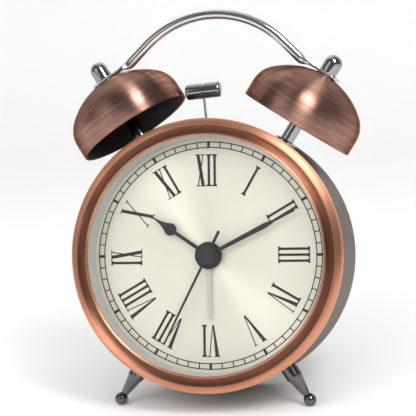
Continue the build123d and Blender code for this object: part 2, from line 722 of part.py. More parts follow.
# ------------------------------------------------------------------ coil and electronics
COIL_UP = -22.5
COIL_DEPTH = 22.8
coil_axis = Plane(
    CLOCK.from_local_coords((0, COIL_UP, -COIL_DEPTH)), x_dir=CLOCK.y_dir, z_dir=CLOCK.x_dir
)
with BuildPart() as coil:
    rod(coil_axis, 2.1, -8.6, 8.6)
    for end in (-9.2, 8.4):
        rod(coil_axis, 2.45, end, end + 0.8)
    slab(22.2, 23.7, (26, 2.2), up=COIL_UP)
pieces["coil"] = coil

with BuildPart() as stator:
    with BuildSketch(station(24.7)):
        with Locations(ROTOR_AT):
            Circle(4.4)
        with BuildLine():
            Polyline((-6, -13), (12.9, -15.2), (12.9, -24), (10, -24), (10, -18.4), (-6, -18.4), close=True)
        make_face()
        with BuildLine():
            Polyline((-6, -12.5), (-12.9, -16), (-12.9, -24), (-10, -24), (-10, -19), (-6, -18.4), close=True)
        make_face()
        with Locations(ROTOR_AT):
            Circle(3.4, mode=Mode.SUBTRACT)
    extrude(amount=1.0)
pieces["stator"] = stator

with BuildPart() as circuit_board:
    slab(16.4, 17.4, (38, 10.6), up=-20.3)
    slab(17.4, 18.3, (5, 4.4), across=-9, up=-20.5, corner=1)
    slab(17.4, 18.0, (2.2, 1.4), across=-15, up=-18)
    slab(17.4, 18.0, (2.2, 1.4), across=-15, up=-22.5)
pieces["circuit_board"] = circuit_board

with BuildPart() as quartz_crystal:
    rod(Plane(CLOCK.from_local_coords((4, -20.3, -18.4)), x_dir=CLOCK.y_dir, z_dir=CLOCK.x_dir), 1.0, 0, 6.2)
pieces["quartz_crystal"] = quartz_crystal

# ------------------------------------------------------------------ hands
SECOND_CAP_R = 4.6


def hand_plane(hand, back):
    return station(back, turned_by=HAND_ANGLES[hand])


# The hour hand widens to a round boss and then draws in to a long point.
with BuildPart() as hour_hand:
    with BuildSketch(hand_plane("hour", 10.6)):
        Circle(5.85)
        with BuildLine():
            Polyline((-0.75, 0), (-0.75, 20.0), (0.75, 20.0), (0.75, 0), close=True)
        make_face()
        with Locations((0, 20.0)):
            Circle(2.7)
        with BuildLine():
            right_curve = Spline((1.9, 21.8), (0.95, 24.4), (0.3, 29.6))
            Line(right_curve @ 1, (-0.3, 29.6))
            left_curve = Spline((-0.3, 29.6), (-0.95, 24.4), (-1.9, 21.8))
            Line(left_curve @ 1, (1.9, 21.8))
        make_face()
        Circle(HOUR_TUBE_R, mode=Mode.SUBTRACT)
    extrude(amount=0.6)
pieces["hour_hand"] = hour_hand

with BuildPart() as minute_hand:
    with BuildSketch(hand_plane("minute", 9.2)):
        Circle(4.7)
        with BuildLine():
            Polyline(
                (-0.7, 0),
                (-1.12, 28.0),
                (-0.5, 31.4),
                (-0.46, 41.9),
                (0.46, 41.9),
                (0.5, 31.4),
                (1.12, 28.0),
                (0.7, 0),
                close=True,
            )
        make_face()
        Circle(MINUTE_TUBE_R, mode=Mode.SUBTRACT)
    extrude(amount=0.6)
pieces["minute_hand"] = minute_hand

with BuildPart() as second_hand:
    with BuildSketch(hand_plane("second", 7.5)):
        Circle(SECOND_CAP_R - 0.4)
        with BuildLine():
            Polyline((-0.62, -11.6), (-0.38, 42.3), (0.38, 42.3), (0.62, -11.6), close=True)
        make_face()
    extrude(amount=0.35)
    turn(
        backward(),
        (0, 5.5),
        (SECOND_CAP_R - 0.7, 5.5),
        (SECOND_CAP_R, 6.2),
        (SECOND_CAP_R, 8.2),
        (0, 8.2),
    )
    rod(backward(), SECOND_ARBOR_R, 7.0, 9.0, mode=Mode.SUBTRACT)
pieces["second_hand"] = second_hand

with BuildPart() as alarm_hand:
    with BuildSketch(hand_plane("alarm", 11.6)):
        Circle(4.2)
        with BuildLine():
            Polyline((-0.85, 0), (-0.85, 25.5), (0, 28.2), (0.85, 25.5), (0.85, 0), close=True)
        make_face()
        Circle(ALARM_TUBE_R, mode=Mode.SUBTRACT)
    extrude(amount=0.35)
    with BuildSketch(hand_plane("alarm", 11.25)):
        with BuildLine():
            Polyline((-0.25, 4.0), (-0.25, 26), (0.25, 26), (0.25, 4.0), close=True)
        make_face()
    extrude(amount=0.15)
pieces["alarm_hand"] = alarm_hand

# ------------------------------------------------------------------ back cover
pocket_size = (57.2, 16.4)
pocket_wall = 1.2
POCKET_FRONT = 41.2
door_channel_bottom = -56.0
slot_length = SWITCH_TRAVEL + 4.6 + 0.6
with BuildPart() as back_cover:
    turn(
        backward(),
        (0, CASE_BACK),
        (COVER_R, CASE_BACK),
        (COVER_R, COVER_BACK - 0.9),
        (COVER_R - 0.9, COVER_BACK),
        (0, COVER_BACK),
    )
    rod(backward(), 49.6, 54.5, CASE_BACK, hole=48.2)
    outer_pocket = (pocket_size[0] + 2 * pocket_wall, pocket_size[1] + 2 * pocket_wall)
    slab(POCKET_FRONT - pocket_wall, CASE_BACK, outer_pocket, up=BATTERY_UP)
    slab(POCKET_FRONT, 62, pocket_size, up=BATTERY_UP, mode=Mode.SUBTRACT)
    channel_top = DOOR_TOP + DOOR_GAP
    channel_size = (2 * (DOOR_HALF + DOOR_GAP), channel_top - door_channel_bottom)
    channel_up = (channel_top + door_channel_bottom) / 2
    slab(59.0, 62, channel_size, up=channel_up, mode=Mode.SUBTRACT)
    groove_size = (channel_size[0] + 1.8, channel_size[1])
    slab(59.3, 60.1, groove_size, up=channel_up, mode=Mode.SUBTRACT)
    for across, up in (MOTION_AT, ALARM_SET_AT):
        rod(backward(across, up), SETTER_R + 0.3, 57, 62, mode=Mode.SUBTRACT)
        rod(backward(across, up), 3.6, COVER_BACK - 0.01, 61.0, hole=SETTER_R + 0.3)
    slab(57, 62, (slot_length, 4.6), up=SWITCH_UP, mode=Mode.SUBTRACT)
    slab(59.6, 62, (slot_length + 5, 8.2), up=SWITCH_UP, corner=2, mode=Mode.SUBTRACT)
    for angle in COVER_SCREW_ANGLES:
        across = COVER_SCREW_AT * sin(radians(angle))
        up = COVER_SCREW_AT * cos(radians(angle))
        rod(backward(across, up), 1.1, 57, 62, mode=Mode.SUBTRACT)
pieces["back_cover"] = back_cover

with BuildPart() as cover_screws:
    for angle in COVER_SCREW_ANGLES:
        across = COVER_SCREW_AT * sin(radians(angle))
        up = COVER_SCREW_AT * cos(radians(angle))
        axis_plane = backward(across, up)
        turn(
            axis_plane,
            (0, 54.5),
            (1.0, 54.5),
            (1.0, COVER_BACK),
            (2.0, COVER_BACK),
            (1.9, COVER_BACK + 0.7),
            (1.3, COVER_BACK + 1.15),
            (0, COVER_BACK + 1.3),
        )
        slab(COVER_BACK + 0.5, COVER_BACK + 2, (0.5, 2.6), across, up, mode=Mode.SUBTRACT)
        slab(COVER_BACK + 0.5, COVER_BACK + 2, (2.6, 0.5), across, up, mode=Mode.SUBTRACT)
pieces["cover_screws"] = cover_screws

# The battery door slides down its channel, held by a tongue along each side.
door_size = (2 * DOOR_HALF, DOOR_TOP - DOOR_BOTTOM)
door_up = (DOOR_TOP + DOOR_BOTTOM) / 2
with BuildPart() as battery_door:
    slab(59.15, COVER_BACK, door_size, up=door_up, corner=1.5)
    slab(59.45, 59.95, (door_size[0] + 1.2, door_size[1] - 6), up=door_up)
    for ridge in range(5):
        slab(COVER_BACK - 0.1, COVER_BACK + 0.35, (14 - 2 * ridge, 0.8), up=-34 - 1.8 * ridge, corner=0.35)
pieces["battery_door"] = battery_door

battery_axis = Plane(
    CLOCK.from_local_coords((0, BATTERY_UP, -BATTERY_DEPTH)), x_dir=CLOCK.z_dir, z_dir=CLOCK.x_dir
)
with BuildPart() as battery:
    turn(
        battery_axis,
        (0, -23.4),
        (4.6, -23.4),
        (BATTERY_R - 0.4, -23.2),
        (BATTERY_R, -22.8),
        (BATTERY_R, 25.0),
        (BATTERY_R - 0.5, 25.4),
        (2.7, 25.4),
        (2.6, 26.4),
        (0, 26.4),
    )
pieces["battery"] = battery

with BuildPart() as contact_plate:
    rod(battery_axis, 5.2, 26.4, 26.8)
    with BuildSketch(battery_axis.offset(26.6)):
        Rectangle(2.4, 9.0)
    extrude(amount=2.0)
pieces["contact_plate"] = contact_plate

# A conical contact spring, drawn as rings that shrink towards the battery.
SPRING_TURNS = 4
with BuildPart() as contact_spring:
    rod(battery_axis, 5.2, -28.6, -28.2)
    for coil_turn in range(SPRING_TURNS):
        ring_r = 4.6 - 0.6 * coil_turn
        ring_at = -27.9 + 1.2 * coil_turn
        rod(battery_axis, ring_r, ring_at - 0.35, ring_at + 0.35, hole=ring_r - 0.7)
    for angle in (90, 210, 330):
        with BuildSketch(battery_axis.offset(-28.3)):
            with Locations((3.1 * cos(radians(angle)), 3.1 * sin(radians(angle)))):
                Rectangle(0.7, 2.6, rotation=angle + 90)
        extrude(amount=4.2)
pieces["contact_spring"] = contact_spring


# ------------------------------------------------------------------ knobs and switch
def flutes(depth_front, depth_back, across, up, radius, count):
    """Cuts grip flutes around a knob."""
    with BuildSketch(station(depth_back, across, up)) as grooves:
        with PolarLocations(radius, count):
            Circle(0.5)
    extrude(grooves.sketch, amount=depth_back - depth_front, mode=Mode.SUBTRACT)


knobs = {"time_knob": MOTION_AT, "alarm_knob": ALARM_SET_AT}
for node, place in knobs.items():
    with BuildPart() as knob:
        turn(
            backward(*place),
            (SETTER_R, KNOB_FRONT),
            (KNOB_R - 0.6, KNOB_FRONT),
            (KNOB_R, KNOB_FRONT + 0.6),
            (KNOB_R, 66.6),
            (KNOB_R - 0.8, 67.4),
            (4.2, 67.4),
            (3.9, 67.0),
            (0, 67.0),
            (0, 62.0),
            (SETTER_R, 62.0),
        )
        flutes(62.4, 68.0, *place, KNOB_R + 0.15, 22)
    pieces[node] = knob

with BuildPart() as alarm_switch:
    slab(56.4, 57.7, (13.5, 7.4), across=-SWITCH_TRAVEL / 2, up=SWITCH_UP)
    slab(57.7, 61.6, (4.6, 4.0), across=-SWITCH_TRAVEL / 2, up=SWITCH_UP)
    for ridge in (-1.4, 0.0, 1.4):
        slab(61.6, 62.1, (0.6, 4.0), across=-SWITCH_TRAVEL / 2 + ridge, up=SWITCH_UP)
pieces["alarm_switch"] = alarm_switch

# ------------------------------------------------------------------ write every node
for node, piece in pieces.items():
    piece.part.label = node
    export_step(piece.part, f"parts/{node}.step")

whole = Compound(children=[piece.part for piece in pieces.values()]).bounding_box()
print(len(pieces), "nodes; lean", round(degrees(LEAN), 3), "degrees; dial height", round(dial_height, 3))
print("box", [round(v, 2) for v in (*whole.min, *whole.max)])
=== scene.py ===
# %% [markdown]
# # A twin-bell alarm clock, dressed for its picture
#
# The clock's size, its parts and its joints come from the packed model. This file gives that
# model its finish: plated copper, dark nickel, glass, enamel and moulded plastic. The parts
# that shine get smooth turned meshes of the same size, because a polished surface shows
# every flat of a coarse one. The hands, the glass and the parts inside and behind the case
# keep their own meshes and get their materials.

import json
from math import acos, asin, atan2, cos, degrees, hypot, pi, radians, sin, sqrt

import bmesh
import bpy
from mathutils import Matrix, Vector


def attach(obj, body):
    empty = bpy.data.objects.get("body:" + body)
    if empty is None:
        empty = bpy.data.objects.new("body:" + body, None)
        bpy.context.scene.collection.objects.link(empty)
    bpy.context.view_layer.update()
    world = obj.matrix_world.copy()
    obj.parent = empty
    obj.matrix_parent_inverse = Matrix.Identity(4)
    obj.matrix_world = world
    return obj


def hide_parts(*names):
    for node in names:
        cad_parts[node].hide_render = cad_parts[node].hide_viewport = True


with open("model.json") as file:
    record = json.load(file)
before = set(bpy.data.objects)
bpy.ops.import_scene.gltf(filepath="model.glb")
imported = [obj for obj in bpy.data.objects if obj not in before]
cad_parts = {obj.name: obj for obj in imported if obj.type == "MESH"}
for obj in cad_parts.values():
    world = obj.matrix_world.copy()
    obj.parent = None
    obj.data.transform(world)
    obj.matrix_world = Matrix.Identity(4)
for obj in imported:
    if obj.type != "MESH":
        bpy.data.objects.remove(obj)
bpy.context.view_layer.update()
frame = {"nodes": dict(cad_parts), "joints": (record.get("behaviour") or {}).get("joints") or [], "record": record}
nodes = frame["nodes"]
MM = 0.001

# %% [markdown]
# ## The clock's own directions
#
# The clock leans back on its case, so nothing on it is square to the table. All work is done
# in the clock's own directions: across, up the dial, and depth behind the front of the bezel.
# The joint of the minute hand gives the dial's axis, and the bezel's mesh gives depth zero.

# %% Directions and places
joints = {joint["name"]: joint for joint in frame["joints"]}
BACK = Vector(joints["minute_spin"]["axis"]).normalized()
ACROSS = Vector((1, 0, 0))
UP = ACROSS.cross(BACK)
axis_point = Vector(joints["minute_spin"]["pos_m"])
front = min(v.co.dot(BACK) for v in nodes["front_bezel"].data.vertices)
ORIGIN = axis_point + BACK * (front - axis_point.dot(BACK))
LEAN = degrees(asin(-BACK.z))


def place(across=0.0, up=0.0, depth=0.0):
    """A point in the frame, in metres, from millimetres in the clock's own directions."""
    return ORIGIN + (ACROSS * across + UP * up + BACK * depth) * MM


def axes_at(point, z_dir, x_dir):
    """A matrix that puts an object's own z and x directions along the two given ones."""
    z_axis = Vector(z_dir).normalized()
    x_axis = (Vector(x_dir) - z_axis * Vector(x_dir).dot(z_axis)).normalized()
    y_axis = z_axis.cross(x_axis)
    turn = Matrix((x_axis, y_axis, z_axis)).transposed().to_4x4()
    return Matrix.Translation(point) @ turn


def dial_frame(depth, across=0.0, up=0.0, turned_by=0.0):
    """A frame that faces forward, with x across and y up the dial, swung clockwise."""
    swing = radians(turned_by)
    return axes_at(place(across, up, depth), -BACK, ACROSS * cos(swing) - UP * sin(swing))


def backward_frame(across=0.0, up=0.0):
    """A frame whose z direction is depth, for parts turned about an axis through the case."""
    return axes_at(place(across, up, 0.0), BACK, ACROSS)


def radial_frame(angle, depth, up=0.0):
    """A frame on the dial's axis whose z direction leaves it at a clock angle."""
    direction = ACROSS * sin(radians(angle)) + UP * cos(radians(angle))
    return axes_at(place(0.0, up, depth), direction, -BACK)


print("lean", round(LEAN, 2), "degrees; dial centre", [round(v, 4) for v in place(0, 0, 13.2)])

# %% [markdown]
# ## The camera
#
# The camera is made early so that every later step can be looked at. It stands a little to
# the right and a little above, on a long lens, so the dial stays nearly round and the right
# side of the case just shows.

# %% Camera
CAMERA_ROUND = radians(11.303)
CAMERA_OVER = radians(-1.218)
CAMERA_ROLL = radians(-0.600)
CAMERA_AWAY = 750.0
FOCAL_PIXELS = 1785.6
PICTURE_SIDE = 416


def from_clock(across, depth, up):
    """A direction in the frame from its parts in the clock's own directions."""
    return ACROSS * across + BACK * depth + UP * up


to_camera = from_clock(
    sin(CAMERA_ROUND) * cos(CAMERA_OVER),
    -cos(CAMERA_ROUND) * cos(CAMERA_OVER),
    sin(CAMERA_OVER),
)
level_right = from_clock(cos(CAMERA_ROUND), sin(CAMERA_ROUND), 0.0)
level_up = to_camera.cross(level_right)
camera_right = level_right * cos(CAMERA_ROLL) + level_up * sin(CAMERA_ROLL)
looked_at = place(2.134, 20.015, 0.0)
camera_data = bpy.data.cameras.new("camera")
camera_data.sensor_width = 36.0
camera_data.lens = FOCAL_PIXELS * camera_data.sensor_width / PICTURE_SIDE
camera = bpy.data.objects.new("camera", camera_data)
camera.matrix_world = axes_at(looked_at + to_camera * CAMERA_AWAY * MM, to_camera, camera_right)
bpy.context.scene.collection.objects.link(camera)
bpy.context.scene.camera = camera
bpy.context.scene.view_settings.view_transform = "Standard"
print("lens", round(camera_data.lens, 1), "mm, height", round(camera.location.z, 3), "m")

# %% [markdown]
# ## Shader sums written as sums
#
# A material is a sheet of nodes. Wiring each Math node by hand hides the formula, so one
# class stands for a node's output and turns plus, minus and times into Math nodes. A second
# class holds the sheet, and makes any other node from its type, settings and inputs.

# %% A wire


class Wire:
    """One output of a node. Arithmetic on it adds Math nodes to its finish."""

    def __init__(self, finish, socket):
        self.finish = finish
        self.socket = socket

    def math(self, operation, *others):
        """A Math node with this wire first."""
        inputs = dict(enumerate((self, *others)))
        return self.finish.node("ShaderNodeMath", {"operation": operation}, inputs)

    def __add__(self, other):
        return self.math("ADD", other)

    def __radd__(self, other):
        return self.math("ADD", other)

    def __sub__(self, other):
        return self.math("SUBTRACT", other)

    def __rsub__(self, other):
        return self.finish.node("ShaderNodeMath", {"operation": "SUBTRACT"}, {0: other, 1: self})

    def __mul__(self, other):
        return self.math("MULTIPLY", other)

    def __rmul__(self, other):
        return self.math("MULTIPLY", other)

    def __truediv__(self, other):
        return self.math("DIVIDE", other)

    def clamped(self):
        """The value held between 0 and 1."""
        held = self.math("ADD", 0.0)
        held.socket.node.use_clamp = True
        return held


print("wire with", [name for name in vars(Wire) if name.startswith("__r")])

# %% A finish


class Finish:
    """A material and the nodes on its sheet."""

    def __init__(self, name):
        self.material = bpy.data.materials.new(name)
        self.material.use_nodes = True
        self.tree = self.material.node_tree
        self.tree.nodes.clear()

    def node(self, kind, settings=None, inputs=None, output=0):
        """Adds a node: its settings first, then its inputs, which are values or wires."""
        made = self.tree.nodes.new(kind)
        for key, value in (settings or {}).items():
            if key == "stops":
                fill_ramp(made.color_ramp, value)
            else:
                setattr(made, key, value)
        for key, value in (inputs or {}).items():
            if isinstance(value, Wire):
                self.tree.links.new(value.socket, made.inputs[key])
            elif value is not None:
                made.inputs[key].default_value = value
        return Wire(self, made.outputs[output])

    def coordinates(self):
        """The place on the piece, in metres, in the piece's own directions."""
        return self.node("ShaderNodeTexCoord", output="Object")

    def parts(self, vector):
        """The x, y and z of a vector, as three wires."""
        split = self.node("ShaderNodeSeparateXYZ", inputs={0: vector})
        return [Wire(self, socket) for socket in split.socket.node.outputs]

    def joined(self, x, y, z):
        """A vector from three values."""
        return self.node("ShaderNodeCombineXYZ", inputs={0: x, 1: y, 2: z})

    def noise(self, vector, scale, detail=3.0, roughness=0.55):
        """Soft random values about a half."""
        inputs = {"Vector": vector, "Scale": scale, "Detail": detail, "Roughness": roughness}
        return self.node("ShaderNodeTexNoise", inputs=inputs)

    def blended(self, share, first, second):
        """A colour between two colours."""
        settings = {"data_type": "RGBA"}
        return self.node("ShaderNodeMix", settings, {"Factor": share, 6: first, 7: second}, 2)

    def ramp(self, value, stops):
        """A colour looked up along a ramp."""
        return self.node("ShaderNodeValToRGB", {"stops": stops}, {"Fac": value})

    def bump(self, height, strength, distance):
        """Normals that follow a height."""
        inputs = {"Height": height, "Strength": strength, "Distance": distance}
        return self.node("ShaderNodeBump", inputs=inputs)

    def surface(self, inputs):
        """The Principled shader, wired to the material's output."""
        shader = self.node("ShaderNodeBsdfPrincipled", inputs=inputs)
        return self.output(shader)

    def output(self, shader):
        """Wires a shader to the material's output and hands back the material."""
        end = self.tree.nodes.new("ShaderNodeOutputMaterial")
        self.tree.links.new(shader.socket, end.inputs["Surface"])
        return self.material


def fill_ramp(ramp, stops):
    """Sets a colour ramp's stops from (position, colour) pairs."""
    while len(ramp.elements) > 1:
        ramp.elements.remove(ramp.elements[-1])
    ramp.elements[0].position = stops[0][0]
    ramp.elements[0].color = stops[0][1]
    for position, colour in stops[1:]:
        ramp.elements.new(position).color = colour


print("finish with", [name for name in vars(Finish) if not name.startswith("_")])

# %% [markdown]
# ## Brushed copper plate
#
# The bells and the bezel are steel, plated with copper and darkened, and then rubbed with an
# abrasive pad while they turn. The pad leaves fine rings and cuts through the dark layer
# unevenly. Rings could be a wave texture, but real scratches start and stop, so noise is
# stretched along the turning direction instead: its coordinates are the direction round the
# axis, scaled a little, and the way along the profile, scaled a lot. Each turned piece has
# its own z direction on the turning axis, and then the shader's constant anisotropy pulls
# the highlights out across the scratches, as on the real metal. The pad can't reach into the
# bezel's hollow, so a band of radii there stays dark, and the bead and lip beside it are rubbed
# bright. Plating also darkens at its edges as seen from the side: that is the specular tint.

# %% Ring brushing


def ring_coordinates(finish, along, round_scale, along_scale):
    """Noise coordinates that run slowly round the z axis and fast along a wire."""
    x, y, _ = finish.parts(finish.coordinates())
    radius = (x * x + y * y).math("SQRT") + 1e-6
    return finish.joined(x / radius * round_scale, y / radius * round_scale, along * along_scale)


COVE_STARTS = 51.5
COVE_ENDS = 55.5
RUBBED = 0.16
PATINA = 0.36


def copper(name, tones, smoothness, edge, cove=False):
    """Brushed antique copper for a piece turned about its own z axis."""
    finish = Finish(name)
    x, y, z = finish.parts(finish.coordinates())
    radius = (x * x + y * y).math("SQRT") * 1000.0
    along = radius + z * 1000.0 if cove else z * 1000.0 - radius * 0.6
    fine = finish.noise(ring_coordinates(finish, along, 4.0, 8.0), 1.0, 5.0, 0.75)
    coarse = finish.noise(ring_coordinates(finish, along, 1.6, 0.9), 1.0, 3.0, 0.6)
    cloud = finish.noise(finish.coordinates(), 45.0, 2.0, 0.5)
    wear = fine * 0.62 + coarse * 0.33 + cloud * 0.22 - 0.09
    if cove:
        hollow = ((radius - COVE_STARTS) * 2.5).clamped() * ((COVE_ENDS - radius) * 1.4).clamped()
        wear = wear + RUBBED - hollow * PATINA
    wear = wear.clamped()
    deep, middle, bright = tones
    stops = [(0.30, (*deep, 1)), (0.52, (*middle, 1)), (0.74, (*bright, 1))]
    return finish.surface(
        {
            "Base Color": finish.ramp(wear, stops),
            "Metallic": 1.0,
            "Specular Tint": (*edge, 1),
            "Roughness": (smoothness - wear * 0.12) + fine * 0.06,
            "Anisotropic": 0.95,
            "Anisotropic Rotation": 0.25,
            "Coat Weight": 0.10 + wear * 0.15,
            "Coat Roughness": 0.22,
            "Normal": finish.bump(fine, 0.3, 0.00006),
        }
    )


BELL_TONES = ((0.095, 0.052, 0.043), (0.33, 0.182, 0.142), (0.68, 0.41, 0.325))
BEZEL_TONES = ((0.26, 0.112, 0.072), (0.58, 0.245, 0.150), (0.90, 0.43, 0.265))
bell_copper = copper("bell_copper", BELL_TONES, 0.37, (0.28, 0.19, 0.16))
bezel_copper = copper("bezel_copper", BEZEL_TONES, 0.50, (0.75, 0.50, 0.38), cove=True)
print("copper nodes", len(bell_copper.node_tree.nodes))

# %% [markdown]
# ## Dark nickel
#
# The handle, nuts, posts, feet and hammer are polished and plated with dark nickel, which
# reflects like a mirror with a grey tint. The case is the same plate over a satin surface.
# Both get faint marks: polishing lines too fine to see alone, and patches where hands have dulled the shine. The
# handle and the feet take lit and shaded copies of the same plate: the handle's lighter grey is a painted
# highlight for the light on top of the clock, and the feet's darker grey is painted shade for their place under
# it. Bare zinc-plated steel is the same recipe, lighter.

# %% Nickel finishes


def nickel(name, tint, rough, anisotropic=0.0, brushed=0.0, edge=0.9):
    """Dark nickel plate, polished or satin."""
    finish = Finish(name)
    patches = finish.noise(finish.coordinates(), 140.0, 3.0, 0.6)
    _, _, z = finish.parts(finish.coordinates())
    lines = finish.noise(ring_coordinates(finish, z * 1000.0, 2.5, 5.0), 1.0, 3.0, 0.6)
    light = tuple(min(1.0, part * 1.12) for part in tint) + (1,)
    deep = tuple(part * 0.86 for part in tint) + (1,)
    share = (patches * (1.0 - brushed) + lines * brushed).clamped()
    return finish.surface(
        {
            "Base Color": finish.blended(share, deep, light),
            "Metallic": 1.0,
            "Specular Tint": (edge, edge, edge, 1),
            "Roughness": rough * 0.7 + share * (rough * 0.6),
            "Anisotropic": anisotropic,
            "Anisotropic Rotation": 0.25,
            "Normal": finish.bump(lines, 0.04 + brushed * 0.12, 0.00004),
        }
    )


gunmetal = nickel("gunmetal", (0.34, 0.335, 0.34), 0.10)
case_nickel = nickel("case_nickel", (0.30, 0.262, 0.243), 0.42, 0.6, 0.8, 0.35)
# Painted highlight and painted shade: the handle's copy is a lighter grey for the light falling on top of the
# clock, the feet's copy a darker grey for the shade under it.
handle_lit_nickel = nickel("handle_lit_nickel", (0.62, 0.61, 0.60), 0.12)
foot_shaded_nickel = nickel("foot_shaded_nickel", (0.15, 0.147, 0.15), 0.14)
steel = nickel("zinc_steel", (0.62, 0.62, 0.63), 0.25)
print("nickel", gunmetal.name, case_nickel.name, steel.name)

# %% [markdown]
# ## Turned pieces
#
# Bells, bezel, nuts, posts and feet are round about one axis, so each is an outline swept
# round it. A screw modifier would do that, but its seam and its caps need cleaning up. A few
# lines of mesh code give a closed skin with shared points. The outlines repeat the packed
# part's own sizes, in millimetres: radius first, then height along the axis.

# %% Arcs in an outline


def arc(start, middle, end, steps=10):
    """Points on the arc through three points, without the first one."""
    (ax, ay), (bx, by), (cx, cy) = start, middle, end
    d = 2 * (ax * (by - cy) + bx * (cy - ay) + cx * (ay - by))
    a2, b2, c2 = ax * ax + ay * ay, bx * bx + by * by, cx * cx + cy * cy
    ux = (a2 * (by - cy) + b2 * (cy - ay) + c2 * (ay - by)) / d
    uy = (a2 * (cx - bx) + b2 * (ax - cx) + c2 * (bx - ax)) / d
    radius = hypot(ax - ux, ay - uy)
    first = atan2(ay - uy, ax - ux)
    half = (atan2(by - uy, bx - ux) - first) % (2 * pi)
    whole = (atan2(cy - uy, cx - ux) - first) % (2 * pi)
    if half > whole:
        whole -= 2 * pi
    angles = [first + whole * step / steps for step in range(1, steps + 1)]
    return [(ux + radius * cos(angle), uy + radius * sin(angle)) for angle in angles]


print("half a circle", [(round(x, 2), round(y, 2)) for x, y in arc((1, 0), (0, 1), (-1, 0), 2)])

# %% A piece from points and faces


def mesh_piece(name, points, faces, matrix, body, node_names, finishes, sharp=35.0):
    """A mesh object in its own frame, riding on a body, that stands for CAD nodes."""
    mesh = bpy.data.meshes.new(name)
    mesh.from_pydata([tuple(part * MM for part in point) for point in points], [], faces)
    work = bmesh.new()
    work.from_mesh(mesh)
    bmesh.ops.recalc_face_normals(work, faces=work.faces)
    open_edges = sum(1 for edge in work.edges if not edge.is_manifold)
    work.to_mesh(mesh)
    work.free()
    for polygon in mesh.polygons:
        polygon.use_smooth = True
    mesh.set_sharp_from_angle(angle=radians(sharp))
    for finish in finishes:
        mesh.materials.append(finish)
    piece = bpy.data.objects.new(name, mesh)
    piece.matrix_world = matrix
    bpy.context.scene.collection.objects.link(piece)
    bpy.context.view_layer.update()
    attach(piece, body)
    if node_names:
        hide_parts(*node_names)
    print(name, len(points), "points, open edges", open_edges)
    return piece


print("pieces are made in millimetres of", MM, "m")

# %% The lathe


def lathe(outline, around=160):
    """Points and faces of a closed outline turned about the z axis."""
    points, rings = [], []
    for radius, height in outline:
        if radius < 1e-6:
            rings.append([len(points)])
            points.append((0.0, 0.0, height))
        else:
            rings.append(list(range(len(points), len(points) + around)))
            for step in range(around):
                angle = 2 * pi * step / around
                points.append((radius * cos(angle), radius * sin(angle), height))
    faces = []
    for here, there in zip(rings, rings[1:] + rings[:1]):
        for step in range(around):
            after = (step + 1) % around
            if len(here) > 1 and len(there) > 1:
                faces.append((here[step], here[after], there[after], there[step]))
            elif len(here) > 1:
                faces.append((here[step], here[after], there[0]))
            elif len(there) > 1:
                faces.append((here[0], there[after], there[step]))
    return points, faces


print("a turned square has", len(lathe([(1, 0), (2, 0), (2, 1), (1, 1)])[1]), "faces")

# %% [markdown]
# ## The bezel
#
# The bezel is one pressed ring with three shapes in its section: a thin bright lip round
# the glass, a hollow cove, and a fat bead at the outside. Each is an arc, so each gets
# enough points for an unbroken highlight.

# %% Bezel
OPENING_R = 50.8
BEZEL_R = 58.2
BEZEL_BACK = 8.0
CASE_R = 57.6
lip_start = (OPENING_R, 0.7)
lip_top = (51.15, 0.0)
lip_end = (51.6, 0.45)
cove_bottom = (53.1, 1.55)
cove_end = (54.9, 1.0)
bead_top = (57.35, 1.75)
bead_end = (BEZEL_R, 4.2)
bezel_front = [(OPENING_R, 1.5), lip_start]
bezel_front += arc(lip_start, lip_top, lip_end, 8)
bezel_front += arc(lip_end, cove_bottom, cove_end, 14)
bezel_front += arc(cove_end, bead_top, bead_end, 20)
bezel_back = [(BEZEL_R, BEZEL_BACK - 0.2), (BEZEL_R - 0.2, BEZEL_BACK), (CASE_R, BEZEL_BACK)]
bezel_back += [(CASE_R, 4.3), (56.6, 2.6), (54.9, 1.9), (53.1, 2.35), (51.5, 1.5)]
points, faces = lathe(bezel_front + bezel_back, 256)
mesh_piece(
    "bezel",
    points,
    faces,
    backward_frame(),
    "root",
    ["front_bezel"],
    [bezel_copper],
)

# %% [markdown]
# ## The bells
#
# A bell is drawn from sheet in three curves that run into each other: a crown of large
# radius, a rounder shoulder, and a short straight skirt down to the rim. A half ball would be
# simpler, but it has no shoulder, and then the streak of light would narrow too soon.
# Outside it is brushed copper. The inner faces get a near-black finish of their own, darker than the outside's
# deepest tone, picked out by their place in the outline.

# %% Bell insides finish
INSIDE_DARK = (0.018, 0.014, 0.013, 1)
INSIDE_LIGHT = (0.040, 0.030, 0.026, 1)
inside_finish = Finish("bell_inside")
inside_noise = inside_finish.noise(inside_finish.coordinates(), 260.0, 4.0, 0.6)
bell_inside = inside_finish.surface(
    {
        "Base Color": inside_finish.blended(inside_noise, INSIDE_DARK, INSIDE_LIGHT),
        "Metallic": 0.3,
        "Roughness": 0.45 + inside_noise * 0.25,
        "Normal": inside_finish.bump(inside_noise, 0.2, 0.00005),
    }
)
print("bell inside ready")

# %% Bell sizes
BELL_ANGLE = 32.4
BELL_DEPTH = 29.0
BELL_RIM_AT = 66.6
BELL_RIM_R = 26.0
BELL_SKIRT = 6.9
BELL_SHOULDER_R = 12.5
BELL_CROWN_R = 32.4
BELL_WALL = 0.9
SEAT_R = 4.6
STUD_R = 2.0
SEAT_UNDER = 1.25
CURVE_STEPS = 22
RIM_EDGE = 0.25
shoulder_at = BELL_RIM_AT + BELL_SKIRT
shoulder_out = BELL_RIM_R - BELL_SHOULDER_R
crown_drop = sqrt((BELL_CROWN_R - BELL_SHOULDER_R) ** 2 - shoulder_out**2)
crown_centre_at = shoulder_at - crown_drop
bell_top_at = crown_centre_at + BELL_CROWN_R
join_angle = atan2(crown_drop, shoulder_out)
BELL_SIDES = {"left": -BELL_ANGLE, "right": BELL_ANGLE}
print("top of the bells", round(bell_top_at, 2), "mm from the dial's axis")

# %% Bell outline


